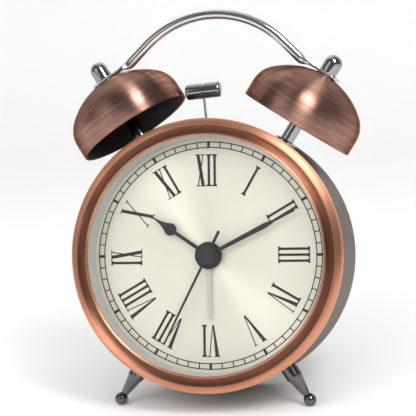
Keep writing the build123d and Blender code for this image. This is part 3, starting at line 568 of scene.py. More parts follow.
def bell_side(wall):
    """The bell's profile from the rim to the edge of the flat seat, at a depth inside the wall."""
    profile = [(BELL_RIM_R - wall, BELL_RIM_AT + RIM_EDGE)]
    ball_r = BELL_SHOULDER_R - wall
    for step in range(CURVE_STEPS + 1):
        angle = join_angle * step / CURVE_STEPS
        profile.append((shoulder_out + ball_r * cos(angle), shoulder_at + ball_r * sin(angle)))
    ball_r = BELL_CROWN_R - wall
    last_angle = acos(SEAT_R / ball_r)
    for step in range(1, CURVE_STEPS + 1):
        angle = join_angle + (last_angle - join_angle) * step / CURVE_STEPS
        profile.append((ball_r * cos(angle), crown_centre_at + ball_r * sin(angle)))
    return profile


outside = bell_side(0.0)
inside = bell_side(BELL_WALL)[::-1]
hole_r = STUD_R + 0.05
crown = [(SEAT_R - 0.5, bell_top_at), (hole_r, bell_top_at)]
crown += [(hole_r, bell_top_at - SEAT_UNDER), (3.2, bell_top_at - SEAT_UNDER)]
rim = [(inside[-1][0] + RIM_EDGE, BELL_RIM_AT), (outside[0][0] - RIM_EDGE, BELL_RIM_AT)]
bell_outline = outside + crown + inside + rim
print("points in the bell's outline", len(bell_outline))

# %% Bells
AROUND = 192
inner_first = len(outside) + 3
inner_last = len(outside) + len(crown) + len(inside) - 1
bells = {}
for side, angle in BELL_SIDES.items():
    points, faces = lathe([(r, z - crown_centre_at) for r, z in bell_outline], AROUND)
    axis_frame = radial_frame(angle, BELL_DEPTH) @ Matrix.Translation((0, 0, crown_centre_at * MM))
    bells[side] = mesh_piece(
        side + "_bell_shell",
        points,
        faces,
        axis_frame,
        "root",
        [side + "_bell"],
        [bell_copper, bell_inside],
        sharp=50.0,
    )
    for polygon in bells[side].data.polygons:
        row = polygon.index // AROUND
        if inner_first <= row < inner_last:
            polygon.material_index = 1

# %% [markdown]
# ## Posts, washers and cap nuts
#
# A post rises from the case to the crown of each bell. A washer spreads its load on the
# case, and a long domed nut holds the handle's tab and the bell. All four are small mirrors,
# and what they reflect is most of how they look, so their edges are softened rather than
# left sharp: a small round edge catches a line of light.

# %% Posts and nuts
POST_R = 3.0
POST_FOOT = 50.5
POST_TIP_ABOVE = 5.7
WASHER_R = 4.7
WASHER_TOP = CASE_R + 1.0
CAP_NUT_R = 3.9
CAP_NUT_LENGTH = 8.5
CAP_NUT_BORE = 4.55
THREAD_R = STUD_R + 0.02
SOFT = 0.2
TAB_THICK = 1.2
seat_under = bell_top_at - SEAT_UNDER
nut_base = bell_top_at + TAB_THICK
nut_shoulder = nut_base + CAP_NUT_LENGTH - CAP_NUT_R
EDGE = sin(radians(45))


def post_outline():
    """A stud with a thicker post between the washer and the bell's seat."""
    tip = bell_top_at + POST_TIP_ABOVE
    outline = [(0, POST_FOOT), (STUD_R, POST_FOOT), (STUD_R, WASHER_TOP), (POST_R - SOFT, WASHER_TOP)]
    outline += [(POST_R, CASE_R + 1.2), (POST_R, bell_top_at - 1.45), (POST_R - SOFT, seat_under)]
    return outline + [(STUD_R, seat_under), (STUD_R, tip), (0, tip)]


def nut_outline():
    """A long domed nut with a blind hole."""
    edge_start = (CAP_NUT_R - 0.3, nut_base)
    edge_middle = (CAP_NUT_R - 0.08, nut_base + 0.08)
    dome_middle = (CAP_NUT_R * EDGE, nut_shoulder + CAP_NUT_R * EDGE)
    top = nut_shoulder + CAP_NUT_R
    outline = [(THREAD_R, nut_base), edge_start]
    outline += arc(edge_start, edge_middle, (CAP_NUT_R, nut_base + 0.3), 4)
    outline += [(CAP_NUT_R, nut_shoulder)]
    outline += arc((CAP_NUT_R, nut_shoulder), dome_middle, (0, top), 16)[:-1]
    return outline + [(0, top), (0, nut_base + CAP_NUT_BORE), (THREAD_R, nut_base + CAP_NUT_BORE)]


for side, angle in BELL_SIDES.items():
    axis_frame = radial_frame(angle, BELL_DEPTH)
    for name, node, outline, around in (
        ("_post", "_bell_post", post_outline(), 64),
        ("_nut", "_cap_nut", nut_outline(), 72),
    ):
        points, faces = lathe(outline, around)
        mesh_piece(
            side + name, points, faces, axis_frame, "root", [side + node], [gunmetal]
        )

# %% Washers
washer_outline = [(THREAD_R, CASE_R), (WASHER_R, CASE_R), (WASHER_R, CASE_R + 0.7)]
washer_outline += arc((WASHER_R, CASE_R + 0.7), (4.62, CASE_R + 0.92), (4.4, WASHER_TOP), 4)
washer_outline += [(THREAD_R, WASHER_TOP)]
washer_points, washer_faces = [], []
for angle in BELL_SIDES.values():
    points, faces = lathe(washer_outline, 64)
    turn = radial_frame(angle, BELL_DEPTH)
    start = len(washer_points)
    washer_points += [(turn @ (Vector(point) * MM)) / MM for point in points]
    washer_faces += [tuple(start + corner for corner in face) for face in faces]
mesh_piece(
    "washers",
    washer_points,
    washer_faces,
    Matrix.Identity(4),
    "root",
    ["post_washers"],
    [gunmetal],
)

# %% [markdown]
# ## Feet
#
# Each foot is turned in one piece: a short drum against the case, a long taper, and a ball
# that bears on the table. The ball is ground flat where it bears, so points that would reach
# under the table are brought up to it.

# %% Feet
FOOT_ANGLE = 33.8
FOOT_DEPTH = 21.3
DRUM_R = 3.6
DRUM_END = 62.5
TAPER_START = (3.2, 63.5)
TAPER_END = (1.6, 71.5)
FOOT_STUD_R = 1.5
FOOT_STUD_AT = 52.0
BALL_AT = 74.4
BALL_R = 2.8
NECK_R = 1.35
BALL_STEPS = 24
neck_turn = asin(NECK_R / BALL_R)
foot_outline = [(0, FOOT_STUD_AT), (FOOT_STUD_R, FOOT_STUD_AT), (FOOT_STUD_R, CASE_R)]
foot_outline += [(DRUM_R - SOFT, CASE_R), (DRUM_R, CASE_R + SOFT), (DRUM_R, DRUM_END)]
foot_outline += arc((DRUM_R, DRUM_END), (3.54, 62.95), TAPER_START, 5)
foot_outline += [TAPER_END, (NECK_R, BALL_AT - sqrt(BALL_R**2 - NECK_R**2))]
for step in range(1, BALL_STEPS):
    turn_left = (pi - neck_turn) * (1 - step / BALL_STEPS)
    foot_outline.append((BALL_R * sin(turn_left), BALL_AT + BALL_R * cos(turn_left)))
foot_outline.append((0.0, BALL_AT + BALL_R))
for side, angle in {"left": 180 + FOOT_ANGLE, "right": 180 - FOOT_ANGLE}.items():
    points, faces = lathe(foot_outline, 72)
    foot_frame = radial_frame(angle, FOOT_DEPTH)
    foot = mesh_piece(
        side + "_ball_foot",
        points,
        faces,
        foot_frame,
        "root",
        [side + "_foot"],
        [foot_shaded_nickel],
    )
    for vertex in foot.data.vertices:
        spot = foot_frame @ vertex.co
        if spot.z < 0.0:
            spot.z = 0.0
            vertex.co = foot_frame.inverted() @ spot

# %% [markdown]
# ## The handle
#
# The handle is one tube, bent to an arch, with its ends pressed flat and drilled. A bevelled
# curve keeps one section all the way, so it can't go flat. Here the section is a loop whose
# width, thickness and squareness change along the way, and the loops are joined into a skin.

# %% The handle's line
TUBE_R = 2.25
ARC_R = 42.2
HANDLE_TOP = 105.3
BEND = radians(45.0)
LEG = 11.0
TAB_WIDTH = 7.6
TAB_INNER = 8.0
TAB_OUTER = 6.4
ROUND = 2.0
SQUARE = 7.0
arc_up = HANDLE_TOP - ARC_R
tilt = radians(BELL_ANGLE)
tab_at = bell_top_at + TAB_THICK / 2
seat = (sin(tilt) * tab_at, cos(tilt) * tab_at)
bend = (ARC_R * sin(BEND), arc_up + ARC_R * cos(BEND))
leg_end = (bend[0] + LEG * cos(BEND), bend[1] - LEG * sin(BEND))
tab_in = (seat[0] - cos(tilt) * TAB_INNER, seat[1] + sin(tilt) * TAB_INNER)
print("handle bends at", [round(part, 1) for part in bend], "tab starts", [round(p, 1) for p in tab_in])

# %% The handle's sections


def smooth(share):
    """Eases a share from 0 to 1."""
    share = min(1.0, max(0.0, share))
    return share * share * (3 - 2 * share)


def tube_stations():
    """The round tube, from the crown of the arch to the end of the straight leg."""
    stations = []
    for step in range(0, 41):
        swing = BEND * step / 40
        stations.append((ARC_R * sin(swing), arc_up + ARC_R * cos(swing), TUBE_R, TUBE_R, ROUND))
    for step in range(1, 7):
        share = step / 6
        across = bend[0] + (leg_end[0] - bend[0]) * share
        up = bend[1] + (leg_end[1] - bend[1]) * share
        stations.append((across, up, TUBE_R, TUBE_R, ROUND))
    return stations


def pressed_stations():
    """The stretch where the tube is pressed flat, on a smooth curve from leg to tab."""
    pull = hypot(tab_in[0] - leg_end[0], tab_in[1] - leg_end[1]) * 0.4
    first = (leg_end[0] + pull * cos(BEND), leg_end[1] - pull * sin(BEND))
    second = (tab_in[0] - pull * cos(tilt), tab_in[1] + pull * sin(tilt))
    stations = []
    for step in range(1, 13):
        share = step / 12
        left = 1 - share
        a, b, c, d = left**3, 3 * share * left**2, 3 * share**2 * left, share**3
        across = a * leg_end[0] + b * first[0] + c * second[0] + d * tab_in[0]
        up = a * leg_end[1] + b * first[1] + c * second[1] + d * tab_in[1]
        eased = smooth(share)
        half_width = TUBE_R + (TAB_WIDTH / 2 - TUBE_R) * eased
        half_thick = TUBE_R + (TAB_THICK / 2 - TUBE_R) * eased
        stations.append((across, up, half_width, half_thick, ROUND + (SQUARE - ROUND) * eased))
    return stations


def tab_stations():
    """The flat tab, rounded at its end."""
    length = TAB_INNER + TAB_OUTER
    round_r = TAB_WIDTH / 2
    stations = []
    for step in range(1, 25):
        along = length * step / 24
        left = length - along
        half_width = round_r
        if left < round_r:
            half_width = sqrt(max(0.02, round_r**2 - (round_r - left) ** 2))
        across = tab_in[0] + cos(tilt) * along
        stations.append((across, tab_in[1] - sin(tilt) * along, half_width, TAB_THICK / 2, SQUARE))
    return stations


right_half = tube_stations() + pressed_stations() + tab_stations()
left_half = [(-across, *rest) for across, *rest in right_half[:0:-1]]
stations = left_half + right_half
print("handle stations", len(stations))

# %% Handle
LOOP = 40


def rounded(reach, part, squareness):
    """One coordinate of a loop that is round at a squareness of 2 and boxy above it."""
    return reach * abs(part) ** (2 / squareness) * (1 if part >= 0 else -1)


points, faces = [], []
for number, (across, up, half_width, half_thick, squareness) in enumerate(stations):
    before = stations[max(0, number - 1)]
    after = stations[min(len(stations) - 1, number + 1)]
    run_x, run_y = after[0] - before[0], after[1] - before[1]
    size = hypot(run_x, run_y)
    side_x, side_y = -run_y / size, run_x / size
    for step in range(LOOP):
        angle = 2 * pi * step / LOOP
        wide = rounded(half_width, cos(angle), squareness)
        thick = rounded(half_thick, sin(angle), squareness)
        points.append((across + side_x * thick, up + side_y * thick, wide))
for number in range(len(stations) - 1):
    for step in range(LOOP):
        after = (step + 1) % LOOP
        base = number * LOOP
        faces.append((base + step, base + after, base + LOOP + after, base + LOOP + step))
faces.append(tuple(range(LOOP)))
faces.append(tuple(range(len(points) - LOOP, len(points))))
mesh_piece(
    "handle",
    points,
    faces,
    dial_frame(BELL_DEPTH),
    "root",
    ["carry_handle"],
    [handle_lit_nickel],
    sharp=50.0,
)

# %% [markdown]
# ## The hammer
#
# The head is a short bar with rounded ends and a thin groove at the middle, where its two
# halves meet on the wire. It is turned like the nuts, about an axis that lies across the
# clock, and it rides on the hammer's body, so it swings with it.

# %% Hammer head
HAMMER_PIVOT_UP = 14.0
HAMMER_DEPTH = 29.2
HAMMER_REACH = 58.2
HAMMER_LEAN = 5.1
HAMMER_R = 3.45
HAMMER_LENGTH = 15.6
HEAD_ROUND = 1.3
GROOVE = 0.4
wire_frame = radial_frame(-HAMMER_LEAN, HAMMER_DEPTH, HAMMER_PIVOT_UP)
head_centre = wire_frame @ Vector((0, 0, HAMMER_REACH * MM))
lean = radians(-HAMMER_LEAN)
head_axis = ACROSS * cos(lean) - UP * sin(lean)
half = HAMMER_LENGTH / 2
flat_r = HAMMER_R - HEAD_ROUND
inset = HEAD_ROUND * (1 - EDGE)
groove_side = GROOVE + 0.14
right_end = arc((HAMMER_R, half - HEAD_ROUND), (HAMMER_R - inset, half - inset), (flat_r, half), 8)
left_end = [(radius, -height) for radius, height in right_end[::-1]]
groove_out = [(HAMMER_R - 0.45, GROOVE), (HAMMER_R - 0.12, GROOVE), (HAMMER_R, groove_side)]
groove_in = [(radius, -height) for radius, height in groove_out[::-1]]
head_outline = [groove_in[-1]] + groove_out + [(HAMMER_R, half - HEAD_ROUND)] + right_end
head_outline += [(0, half), (0, -half)] + left_end + [(HAMMER_R, HEAD_ROUND - half)] + groove_in[:-1]
points, faces = lathe(head_outline, 72)
mesh_piece(
    "hammer_bar",
    points,
    faces,
    axes_at(head_centre, head_axis, -BACK),
    "hammer",
    ["hammer_head"],
    [gunmetal],
)

# %% [markdown]
# ## The case
#
# The case is a drawn drum, satin plated, with a slot on top for the hammer's wire. The drum
# is turned like the bezel. The slot is then cut with a Boolean, which is the simplest way to
# put one hole in a curved wall, and the result is stored as a plain mesh.

# %% Case
CASE_WALL = 0.7
CASE_FRONT = 4.4
CASE_BACK = 58.0
EDGE_R = 2.0
MOUTH_R = 50.0
inner_r = CASE_R - CASE_WALL
inner_bend = EDGE_R - CASE_WALL
wall_back = CASE_BACK - CASE_WALL
edge_start = (CASE_R, CASE_BACK - EDGE_R)
edge_middle = (CASE_R - EDGE_R * (1 - EDGE), CASE_BACK - EDGE_R * (1 - EDGE))
inner_start = (inner_r - inner_bend, wall_back)
inner_middle = (inner_r - inner_bend * (1 - EDGE), wall_back - inner_bend * (1 - EDGE))
case_outline = [(CASE_R, CASE_FRONT), (CASE_R, 20.0), (CASE_R, 40.0), edge_start]
case_outline += arc(edge_start, edge_middle, (CASE_R - EDGE_R, CASE_BACK), 10)
case_outline += [(MOUTH_R, CASE_BACK), (MOUTH_R, wall_back), inner_start]
case_outline += arc(inner_start, inner_middle, (inner_r, CASE_BACK - EDGE_R), 6)
case_outline += [(inner_r, CASE_FRONT)]
points, faces = lathe(case_outline, 288)
case = mesh_piece(
    "case_drum",
    points,
    faces,
    backward_frame(),
    "root",
    ["case_shell"],
    [case_nickel],
)


print("case", CASE_BACK - CASE_FRONT, "mm deep behind the bezel's flange")

# %% Cutting a hole


def prism(outline, low, high):
    """Points and faces of a closed flat outline given a thickness along z."""
    count = len(outline)
    points = [(x, y, low) for x, y in outline] + [(x, y, high) for x, y in outline]
    faces = [tuple(range(count - 1, -1, -1)), tuple(range(count, 2 * count))]
    for step in range(count):
        after = (step + 1) % count
        faces.append((step, after, count + after, count + step))
    return points, faces


def cut(piece, outline, low, high, matrix):
    """Cuts a prism out of a piece and keeps the result as its mesh."""
    points, faces = prism(outline, low, high)
    mesh = bpy.data.meshes.new("cutter")
    mesh.from_pydata([tuple(part * MM for part in point) for point in points], [], faces)
    cutter = bpy.data.objects.new("cutter", mesh)
    cutter.matrix_world = matrix
    bpy.context.scene.collection.objects.link(cutter)
    step = piece.modifiers.new("slot", "BOOLEAN")
    step.operation = "DIFFERENCE"
    step.solver = "EXACT"
    step.object = cutter
    graph = bpy.context.evaluated_depsgraph_get()
    made = bpy.data.meshes.new_from_object(piece.evaluated_get(graph))
    piece.modifiers.clear()
    piece.data = made
    bpy.data.objects.remove(cutter)


print("cutter ready")

# %% Slot for the hammer's wire
SLOT_LONG = 15.0
SLOT_WIDE = 4.4
CUT_FROM = 50.0
CUT_TO = 60.0
slot_outline = []
for first_angle, side in ((90, 1), (270, -1)):
    centre = side * (SLOT_LONG - SLOT_WIDE) / 2
    for step in range(13):
        angle = radians(first_angle - 15 * step)
        slot_outline.append((SLOT_WIDE / 2 * sin(angle), centre + SLOT_WIDE / 2 * cos(angle)))
cut(case, slot_outline, CUT_FROM, CUT_TO, radial_frame(0, HAMMER_DEPTH))
print("case faces", len(case.data.polygons))

# %% [markdown]
# ## Glass
#
# The glass is a flat window. Solid glass would be right for a lens or a bottle, but light
# has to find its way through it to the dial, and that takes very long to settle. A thin
# window hardly bends light, so here it is clear, with a mirror layer that grows stronger at
# a shallow angle, as glass does.

# %% Glass finish
glass = Finish("window_glass")
smear = glass.noise(glass.coordinates(), 60.0, 3.0, 0.6)
shine = glass.node("ShaderNodeFresnel", inputs={"IOR": 1.45})
lens_glass = glass.surface(
    {
        "Base Color": glass.blended(smear, (0.96, 0.98, 0.97, 1), (1.0, 1.0, 1.0, 1)),
        "Metallic": 1.0,
        "Roughness": 0.015 + smear * 0.03,
        "Alpha": (shine * 0.9).clamped(),
    }
)
lens_glass.surface_render_method = "BLENDED"
nodes["lens"].data.materials.clear()
nodes["lens"].data.materials.append(lens_glass)
print("glass set on", nodes["lens"].name)

# %% [markdown]
# ## The dial
#
# The dial is a disc with a sunray satin under cream lacquer: fine lines run out from the
# middle, so it is brighter across the light and darker along it. The disc is turned about
# its own middle, and then the same anisotropy as on the bells, a quarter turn on, gives the
# soft rays. The lacquer takes most of the light, so only a third of the surface is metal.

# %% Dial
DIAL_FRONT = 13.2
DIAL_THICK = 0.7
DIAL_R = 55.4
HUB_HOLE_R = 4.05
dial_finish = Finish("cream_dial")
dx, dy, _ = dial_finish.parts(dial_finish.coordinates())
dial_radius = (dx * dx + dy * dy).math("SQRT") * 1000.0
ray_x = dx * 1000.0 / (dial_radius + 0.01) * 40.0
ray_y = dy * 1000.0 / (dial_radius + 0.01) * 40.0
rays = dial_finish.noise(dial_finish.joined(ray_x, ray_y, dial_radius * 0.02), 1.0, 3.0, 0.6)
mottle = dial_finish.noise(dial_finish.coordinates(), 55.0, 2.0, 0.5)
# Painted shade: the cream turns darker towards the rim, where the ring and the bezel shade the dial.
painted_rim_shade = ((dial_radius - 30.0) / 24.0).clamped()
painted_rim_shade = painted_rim_shade * painted_rim_shade
cream = dial_finish.blended(painted_rim_shade, (0.89, 0.86, 0.745, 1), (0.71, 0.70, 0.625, 1))
tone = (rays * 0.5 + mottle * 0.5).clamped()
soiling = dial_finish.ramp(tone, [(0.3, (0.7, 0.7, 0.68, 1)), (0.7, (1, 1, 1, 1))])
multiply = {"data_type": "RGBA", "blend_type": "MULTIPLY"}
cream = dial_finish.node("ShaderNodeMix", multiply, {"Factor": 0.10, 6: cream, 7: soiling}, 2)
cream_dial = dial_finish.surface(
    {
        "Base Color": cream,
        "Metallic": 0.36,
        "Roughness": 0.42 + rays * 0.1,
        "Anisotropic": 0.92,
        "Anisotropic Rotation": 0.0,
        "Coat Weight": 0.12,
        "Coat Roughness": 0.25,
        "Normal": dial_finish.bump(rays, 0.05, 0.00003),
    }
)
dial_outline = [(HUB_HOLE_R, 0), (HUB_HOLE_R, DIAL_THICK), (DIAL_R - 0.1, DIAL_THICK)]
dial_outline += [(DIAL_R, DIAL_THICK - 0.1), (DIAL_R, 0)]
points, faces = lathe(dial_outline, 192)
dial_face = dial_frame(DIAL_FRONT + DIAL_THICK)
mesh_piece("dial", points, faces, dial_face, "root", ["dial_plate"], [cream_dial])

# %% [markdown]
# ## Printing on the dial
#
# Ink stands a few hundredths of a millimetre above the lacquer. A picture of the print would
# be the quick way, but a printed shape made of mesh stays sharp at any distance and goes
# with the model. Each numeral is built from straight strokes and thin serifs, the way a
# sign writer draws it: one stroke of an X or a V is fat, the other is thin.

# %% Ink finish
ink = Finish("black_ink")
grain = ink.noise(ink.coordinates(), 900.0, 3.0, 0.6)
black_ink = ink.surface(
    {
        "Base Color": ink.blended(grain, (0.012, 0.012, 0.013, 1), (0.03, 0.03, 0.031, 1)),
        "Roughness": 0.4 + grain * 0.25,
        "Normal": ink.bump(grain, 0.15, 0.00002),
    }
)
INK_THICK = 0.05
INNER_TRACK = 46.2
OUTER_TRACK = 48.55
TRACK_LINE = 0.46
MINUTE_TICK = 0.48
HOUR_TICK = 1.15
print("ink ready")

# %% Stroke sizes
FIGURE_FOOT = 29.6
FIGURE_HEAD = 43.3
STEM = 1.06
FAT = 1.38
HAIR = 0.44
SERIF = 0.42
FLARE = 1.0
FLARE_UP = 1.1
STEM_SERIF = 1.12
figure_height = FIGURE_HEAD - FIGURE_FOOT
print("figures", round(figure_height, 1), "mm tall")

# %% Strokes


def bar(x0, y0, x1, y1, width):
    """Four corners of a stroke between two heights, its ends cut level."""
    slope = hypot(x1 - x0, y1 - y0) / abs(y1 - y0)
    half_width = width / 2 * slope
    return [(x0 - half_width, y0), (x0 + half_width, y0), (x1 + half_width, y1), (x1 - half_width, y1)]


def serif(left, right, at_head):
    """A thin line that closes one or more stems."""
    low = figure_height - SERIF if at_head else 0.0
    return [(left, low), (right, low), (right, low + SERIF), (left, low + SERIF)]


def stem(centre):
    """An upright with the small swellings where it meets its serifs."""
    low, high = 0.0, figure_height
    shapes = [bar(centre, low, centre, high, STEM)]
    for at, away in ((low, 1), (high, -1)):
        flare = [
            (centre - FLARE, at + away * SERIF * 0.9),
            (centre + FLARE, at + away * SERIF * 0.9),
            (centre + STEM / 2, at + away * FLARE_UP),
            (centre - STEM / 2, at + away * FLARE_UP),
        ]
        shapes.append(flare[::away])
    return shapes


def cross_figure(centre, spread):
    """An X: a fat stroke falling to the right, and a hair stroke rising."""
    shapes = [
        bar(centre + spread, 0.0, centre - spread, figure_height, FAT),
        bar(centre - spread, 0.0, centre + spread, figure_height, HAIR),
    ]
    for at_head in (False, True):
        fat_at = centre - spread if at_head else centre + spread
        hair_at = centre + spread if at_head else centre - spread
        shapes.append(serif(fat_at - 1.3, fat_at + 1.3, at_head))
        shapes.append(serif(hair_at - 0.85, hair_at + 0.85, at_head))
    return shapes


def wedge_figure(centre, spread):
    """A V: fat on the left and hair on the right, with a sharp foot."""
    foot = centre + 0.15
    shapes = [
        [
            (foot - 0.42, 0.0),
            (foot + 0.2, 0.0),
            (centre - spread + FAT * 0.6, figure_height),
            (centre - spread - FAT * 0.6, figure_height),
        ],
        [
            (foot - 0.1, 0.0),
            (foot + 0.3, 0.0),
            (centre + spread + HAIR / 2, figure_height),
            (centre + spread - HAIR / 2, figure_height),
        ],
        serif(centre - spread - 1.3, centre - spread + 1.25, True),
        serif(centre + spread - 0.8, centre + spread + 0.8, True),
    ]
    return shapes


print("strokes in a V", len(wedge_figure(0.0, 1.0)))

# %% Figures
WIDTHS = {"I": 2.55, "X": 4.6, "V": 5.2}
HALF_X = 1.13
HALF_V = 1.7
LONE_HALF_X = 2.35
LONE_HALF_V = 2.2


def figure(word):
    """The strokes of a Roman numeral, centred, with its foot at zero."""
    if word == "X":
        return cross_figure(0.0, LONE_HALF_X)
    if word == "V":
        return wedge_figure(0.0, LONE_HALF_V)
    at = -sum(WIDTHS[letter] for letter in word) / 2
    shapes = []
    uprights = []
    for letter in word:
        centre = at + WIDTHS[letter] / 2
        if letter == "I":
            uprights.append(centre)
            shapes += stem(centre)
            for at_head in (True, False):
                shapes.append(serif(centre - STEM_SERIF, centre + STEM_SERIF, at_head))
        elif letter == "X":
            shapes += cross_figure(centre, HALF_X)
        else:
            shapes += wedge_figure(centre, HALF_V)
        at += WIDTHS[letter]
    if len(uprights) > 1:
        for at_head in (True, False):
            shapes.append(serif(uprights[0] - STEM_SERIF, uprights[-1] + STEM_SERIF, at_head))
    return shapes


NUMERALS = ["XII", "I", "II", "III", "IV", "V", "VI", "VII", "VIII", "IX", "X", "XI"]
print("strokes in VIII", len(figure("VIII")))

# %% Minute track and numerals
print_points, print_faces = [], []


def add_print(points, faces):
    """Adds a closed shape to the print."""
    start = len(print_points)
    print_points.extend(points)
    print_faces.extend(tuple(start + corner for corner in face) for face in faces)


for track_r in (INNER_TRACK, OUTER_TRACK):
    line = [
        (track_r - TRACK_LINE / 2, 0.0),
        (track_r - TRACK_LINE / 2, INK_THICK),
        (track_r + TRACK_LINE / 2, INK_THICK),
        (track_r + TRACK_LINE / 2, 0.0),
    ]
    add_print(*lathe(line, 240))
for minute in range(60):
    angle = 2 * pi * minute / 60
    width = HOUR_TICK if minute % 5 == 0 else MINUTE_TICK
    reach_in = 0.1 if minute % 5 else 0.3
    corners = []
    for across, up in (
        (-width / 2, INNER_TRACK - reach_in),
        (width / 2, INNER_TRACK - reach_in),
        (width / 2, OUTER_TRACK + reach_in),
        (-width / 2, OUTER_TRACK + reach_in),
    ):
        corners.append((across * cos(angle) + up * sin(angle), up * cos(angle) - across * sin(angle)))
    add_print(*prism(corners, 0.0, INK_THICK + 0.004))
NUDGES = {"XII": -1.0, "IX": -0.6}
for hour, word in enumerate(NUMERALS):
    angle = 2 * pi * hour / 12
    nudge = NUDGES.get(word, 0.0)
    for layer, shape in enumerate(figure(word)):
        corners = []
        for across, up in shape:
            across, up = across + nudge, up + FIGURE_FOOT
            corners.append((across * cos(angle) + up * sin(angle), up * cos(angle) - across * sin(angle)))
        add_print(*prism(corners, 0.0, INK_THICK + 0.002 * (layer % 7)))
mesh_piece(
    "dial_print",
    print_points,
    print_faces,
    dial_frame(DIAL_FRONT),
    "root",
    [],
    [black_ink],
    sharp=30,
)

# %% [markdown]
# ## Finishes for the parts that keep their own meshes
#
# The other parts keep the packed meshes and take one material for each finish: lacquered
# hands, moulded plastic, acetal wheels, brass, steel, copper wire, the board and the cell's
# sleeve. Moulded plastic isn't one flat colour: the mould's spark-eroded texture breaks the
# shine into a fine grain, and it dulls unevenly with handling.

# %% Plain finishes


def moulded(name, dark, light, rough, grain_scale, depth, metallic=0.0):
    """Plastic, lacquer or plated finish with a fine grain and uneven shine."""
    finish = Finish(name)
    fine = finish.noise(finish.coordinates(), grain_scale, 3.0, 0.6)
    broad = finish.noise(finish.coordinates(), 70.0, 3.0, 0.55)
    return finish.surface(
        {
            "Base Color": finish.blended(broad, (*dark, 1), (*light, 1)),
            "Metallic": metallic,
            "Roughness": rough - 0.06 + broad * 0.12 + fine * 0.06,
            "Normal": finish.bump(fine, depth, 0.00006),
        }
    )


PLAIN = {
    "hand_black": ((0.018, 0.018, 0.019), (0.034, 0.034, 0.036), 0.42, 900.0, 0.12),
    "hand_silver": ((0.62, 0.62, 0.60), (0.74, 0.74, 0.72), 0.45, 900.0, 0.08, 0.6),
    "ring_white": ((0.62, 0.62, 0.62), (0.72, 0.72, 0.71), 0.5, 700.0, 0.12),
    "black_plastic": ((0.018, 0.018, 0.019), (0.035, 0.035, 0.037), 0.5, 1500.0, 0.35),
    "natural_plastic": ((0.66, 0.65, 0.60), (0.80, 0.79, 0.75), 0.35, 800.0, 0.1),
    "brass": ((0.55, 0.40, 0.16), (0.72, 0.55, 0.26), 0.28, 1200.0, 0.1, 1.0),
    "copper_wire": ((0.40, 0.13, 0.05), (0.60, 0.24, 0.10), 0.3, 2500.0, 0.3, 1.0),
    "board_green": ((0.02, 0.11, 0.04), (0.04, 0.17, 0.07), 0.35, 900.0, 0.15),
    "battery_sleeve": ((0.03, 0.05, 0.14), (0.05, 0.08, 0.20), 0.3, 500.0, 0.08, 0.4),
}
finishes = {name: moulded(name, *settings) for name, settings in PLAIN.items()}
finishes.update(
    {
        "steel": steel,
        "gunmetal": gunmetal,
        "case_nickel": case_nickel,
        "antique_copper": bell_copper,
        "dial_white": cream_dial,
    }
)
for part in frame["record"]["subparts"]:
    node = nodes[part["node"]]
    if node.name != "lens":
        node.data.materials.clear()
        node.data.materials.append(finishes[part["material_slot"]])
print("finishes on", len(nodes), "nodes")

# %% [markdown]
# ## Floor, light and things to reflect
#
# Polished metal shows its surroundings, so the studio matters as much as the plating. A pale
# sheet makes the floor and sweeps up behind the clock into a backdrop. Big soft panels and a
# key lamp light the sheet and the dial. They are left out of the reflections, so the plating
# doesn't turn white. The plating has its own cards to reflect: a narrow bright one high in
# front and to the right, which draws the streak down each bell, a weak box at the left front,
# and dim ones overhead, behind and at the left. Between them the dim room leaves dark bands.

# %% Floor and backdrop
FLOOR_NEAR = -8.0
SWEEP_START = 0.7
SWEEP_R = 0.7
WALL_TOP = 3.0
HALF_WIDTH = 8.0
floor_finish = Finish("pale_floor")
floor_noise = floor_finish.noise(floor_finish.coordinates(), 6.0, 2.0, 0.5)
pale_floor = floor_finish.surface(
    {
        "Base Color": floor_finish.blended(floor_noise, (0.86, 0.86, 0.86, 1), (0.88, 0.88, 0.88, 1)),
        "Roughness": 0.7,
        "Specular IOR Level": 0.1,
    }
)


def sheet_outline():
    """The floor and the wall behind it as one bent line, seen from the side."""
    outline = [(FLOOR_NEAR, 0.0), (SWEEP_START, 0.0)]
    for step in range(1, 17):
        angle = radians(90) * step / 16
        outline.append((SWEEP_START + SWEEP_R * sin(angle), SWEEP_R - SWEEP_R * cos(angle)))
    return outline + [(SWEEP_START + SWEEP_R, WALL_TOP)]


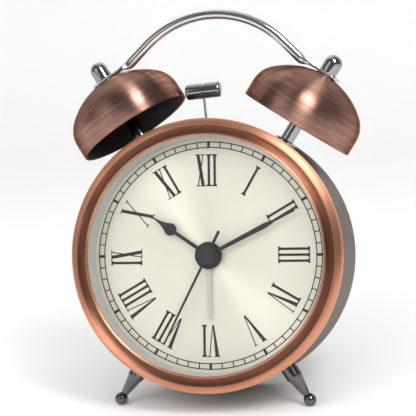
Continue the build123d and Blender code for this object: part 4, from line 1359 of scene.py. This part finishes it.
outline = sheet_outline()
points = [(side * HALF_WIDTH, y, z) for y, z in outline for side in (-1, 1)]
faces = [(2 * n, 2 * n + 1, 2 * n + 3, 2 * n + 2) for n in range(len(outline) - 1)]
mesh = bpy.data.meshes.new("floor")
mesh.from_pydata(points, [], faces)
for polygon in mesh.polygons:
    polygon.use_smooth = True
mesh.materials.append(pale_floor)
floor = bpy.data.objects.new("floor", mesh)
bpy.context.scene.collection.objects.link(floor)
print("floor faces", len(faces))

# %% Soft boxes
TARGET = Vector((0.0, 0.0, 0.08))


def soft_box(name, direction, distance, size, brightness, colour=(1, 1, 1), mirrored=True, lights=True):
    """A rectangular lamp of a given brightness that faces the clock from a direction."""
    lamp = bpy.data.lights.new(name, "AREA")
    lamp.shape = "RECTANGLE"
    lamp.size, lamp.size_y = size
    lamp.energy = brightness * pi * size[0] * size[1]
    lamp.color = colour
    holder = bpy.data.objects.new(name, lamp)
    aim = Vector(direction).normalized()
    holder.location = TARGET + aim * distance
    holder.rotation_euler = aim.to_track_quat("Z", "Y").to_euler()
    holder.visible_glossy = mirrored
    holder.visible_diffuse = lights
    bpy.context.scene.collection.objects.link(holder)
    return holder


KEY_SIDE = (0.43, -0.56, 0.70)
WARM = (1.0, 0.985, 0.96)
soft_box("key", KEY_SIDE, 1.2, (0.30, 0.50), 12.0, WARM, mirrored=False)
soft_box("streak_card", KEY_SIDE, 1.21, (0.32, 0.60), 24.0, WARM, lights=False)
soft_box("left_box", (-0.58, -0.72, 0.38), 1.3, (0.7, 0.8), 1.0)
soft_box("back_card", (-0.45, 0.55, 0.80), 1.4, (1.1, 0.9), 0.7, lights=False)
soft_box("over_card", (-0.1, 0.1, 1.0), 1.4, (1.1, 1.1), 0.6, lights=False)
soft_box("far_card", (0.35, 0.80, 0.60), 1.4, (0.9, 0.7), 0.6, lights=False)
soft_box("side_card", (-1.0, 0.25, 0.32), 1.4, (0.8, 0.8), 0.5, lights=False)
soft_box("ceiling_panel", (0.0, -0.5, 1.0), 2.4, (4.0, 4.0), 1.22, mirrored=False)
soft_box("front_panel", (-0.1, -1.0, 0.35), 2.4, (3.0, 2.0), 2.15, mirrored=False)
world = bpy.data.worlds.new("room")
world.use_nodes = True
room = world.node_tree.nodes["Background"]
room.inputs["Color"].default_value = (1.0, 1.0, 1.0, 1.0)
room.inputs["Strength"].default_value = 0.18
bpy.context.scene.world = world
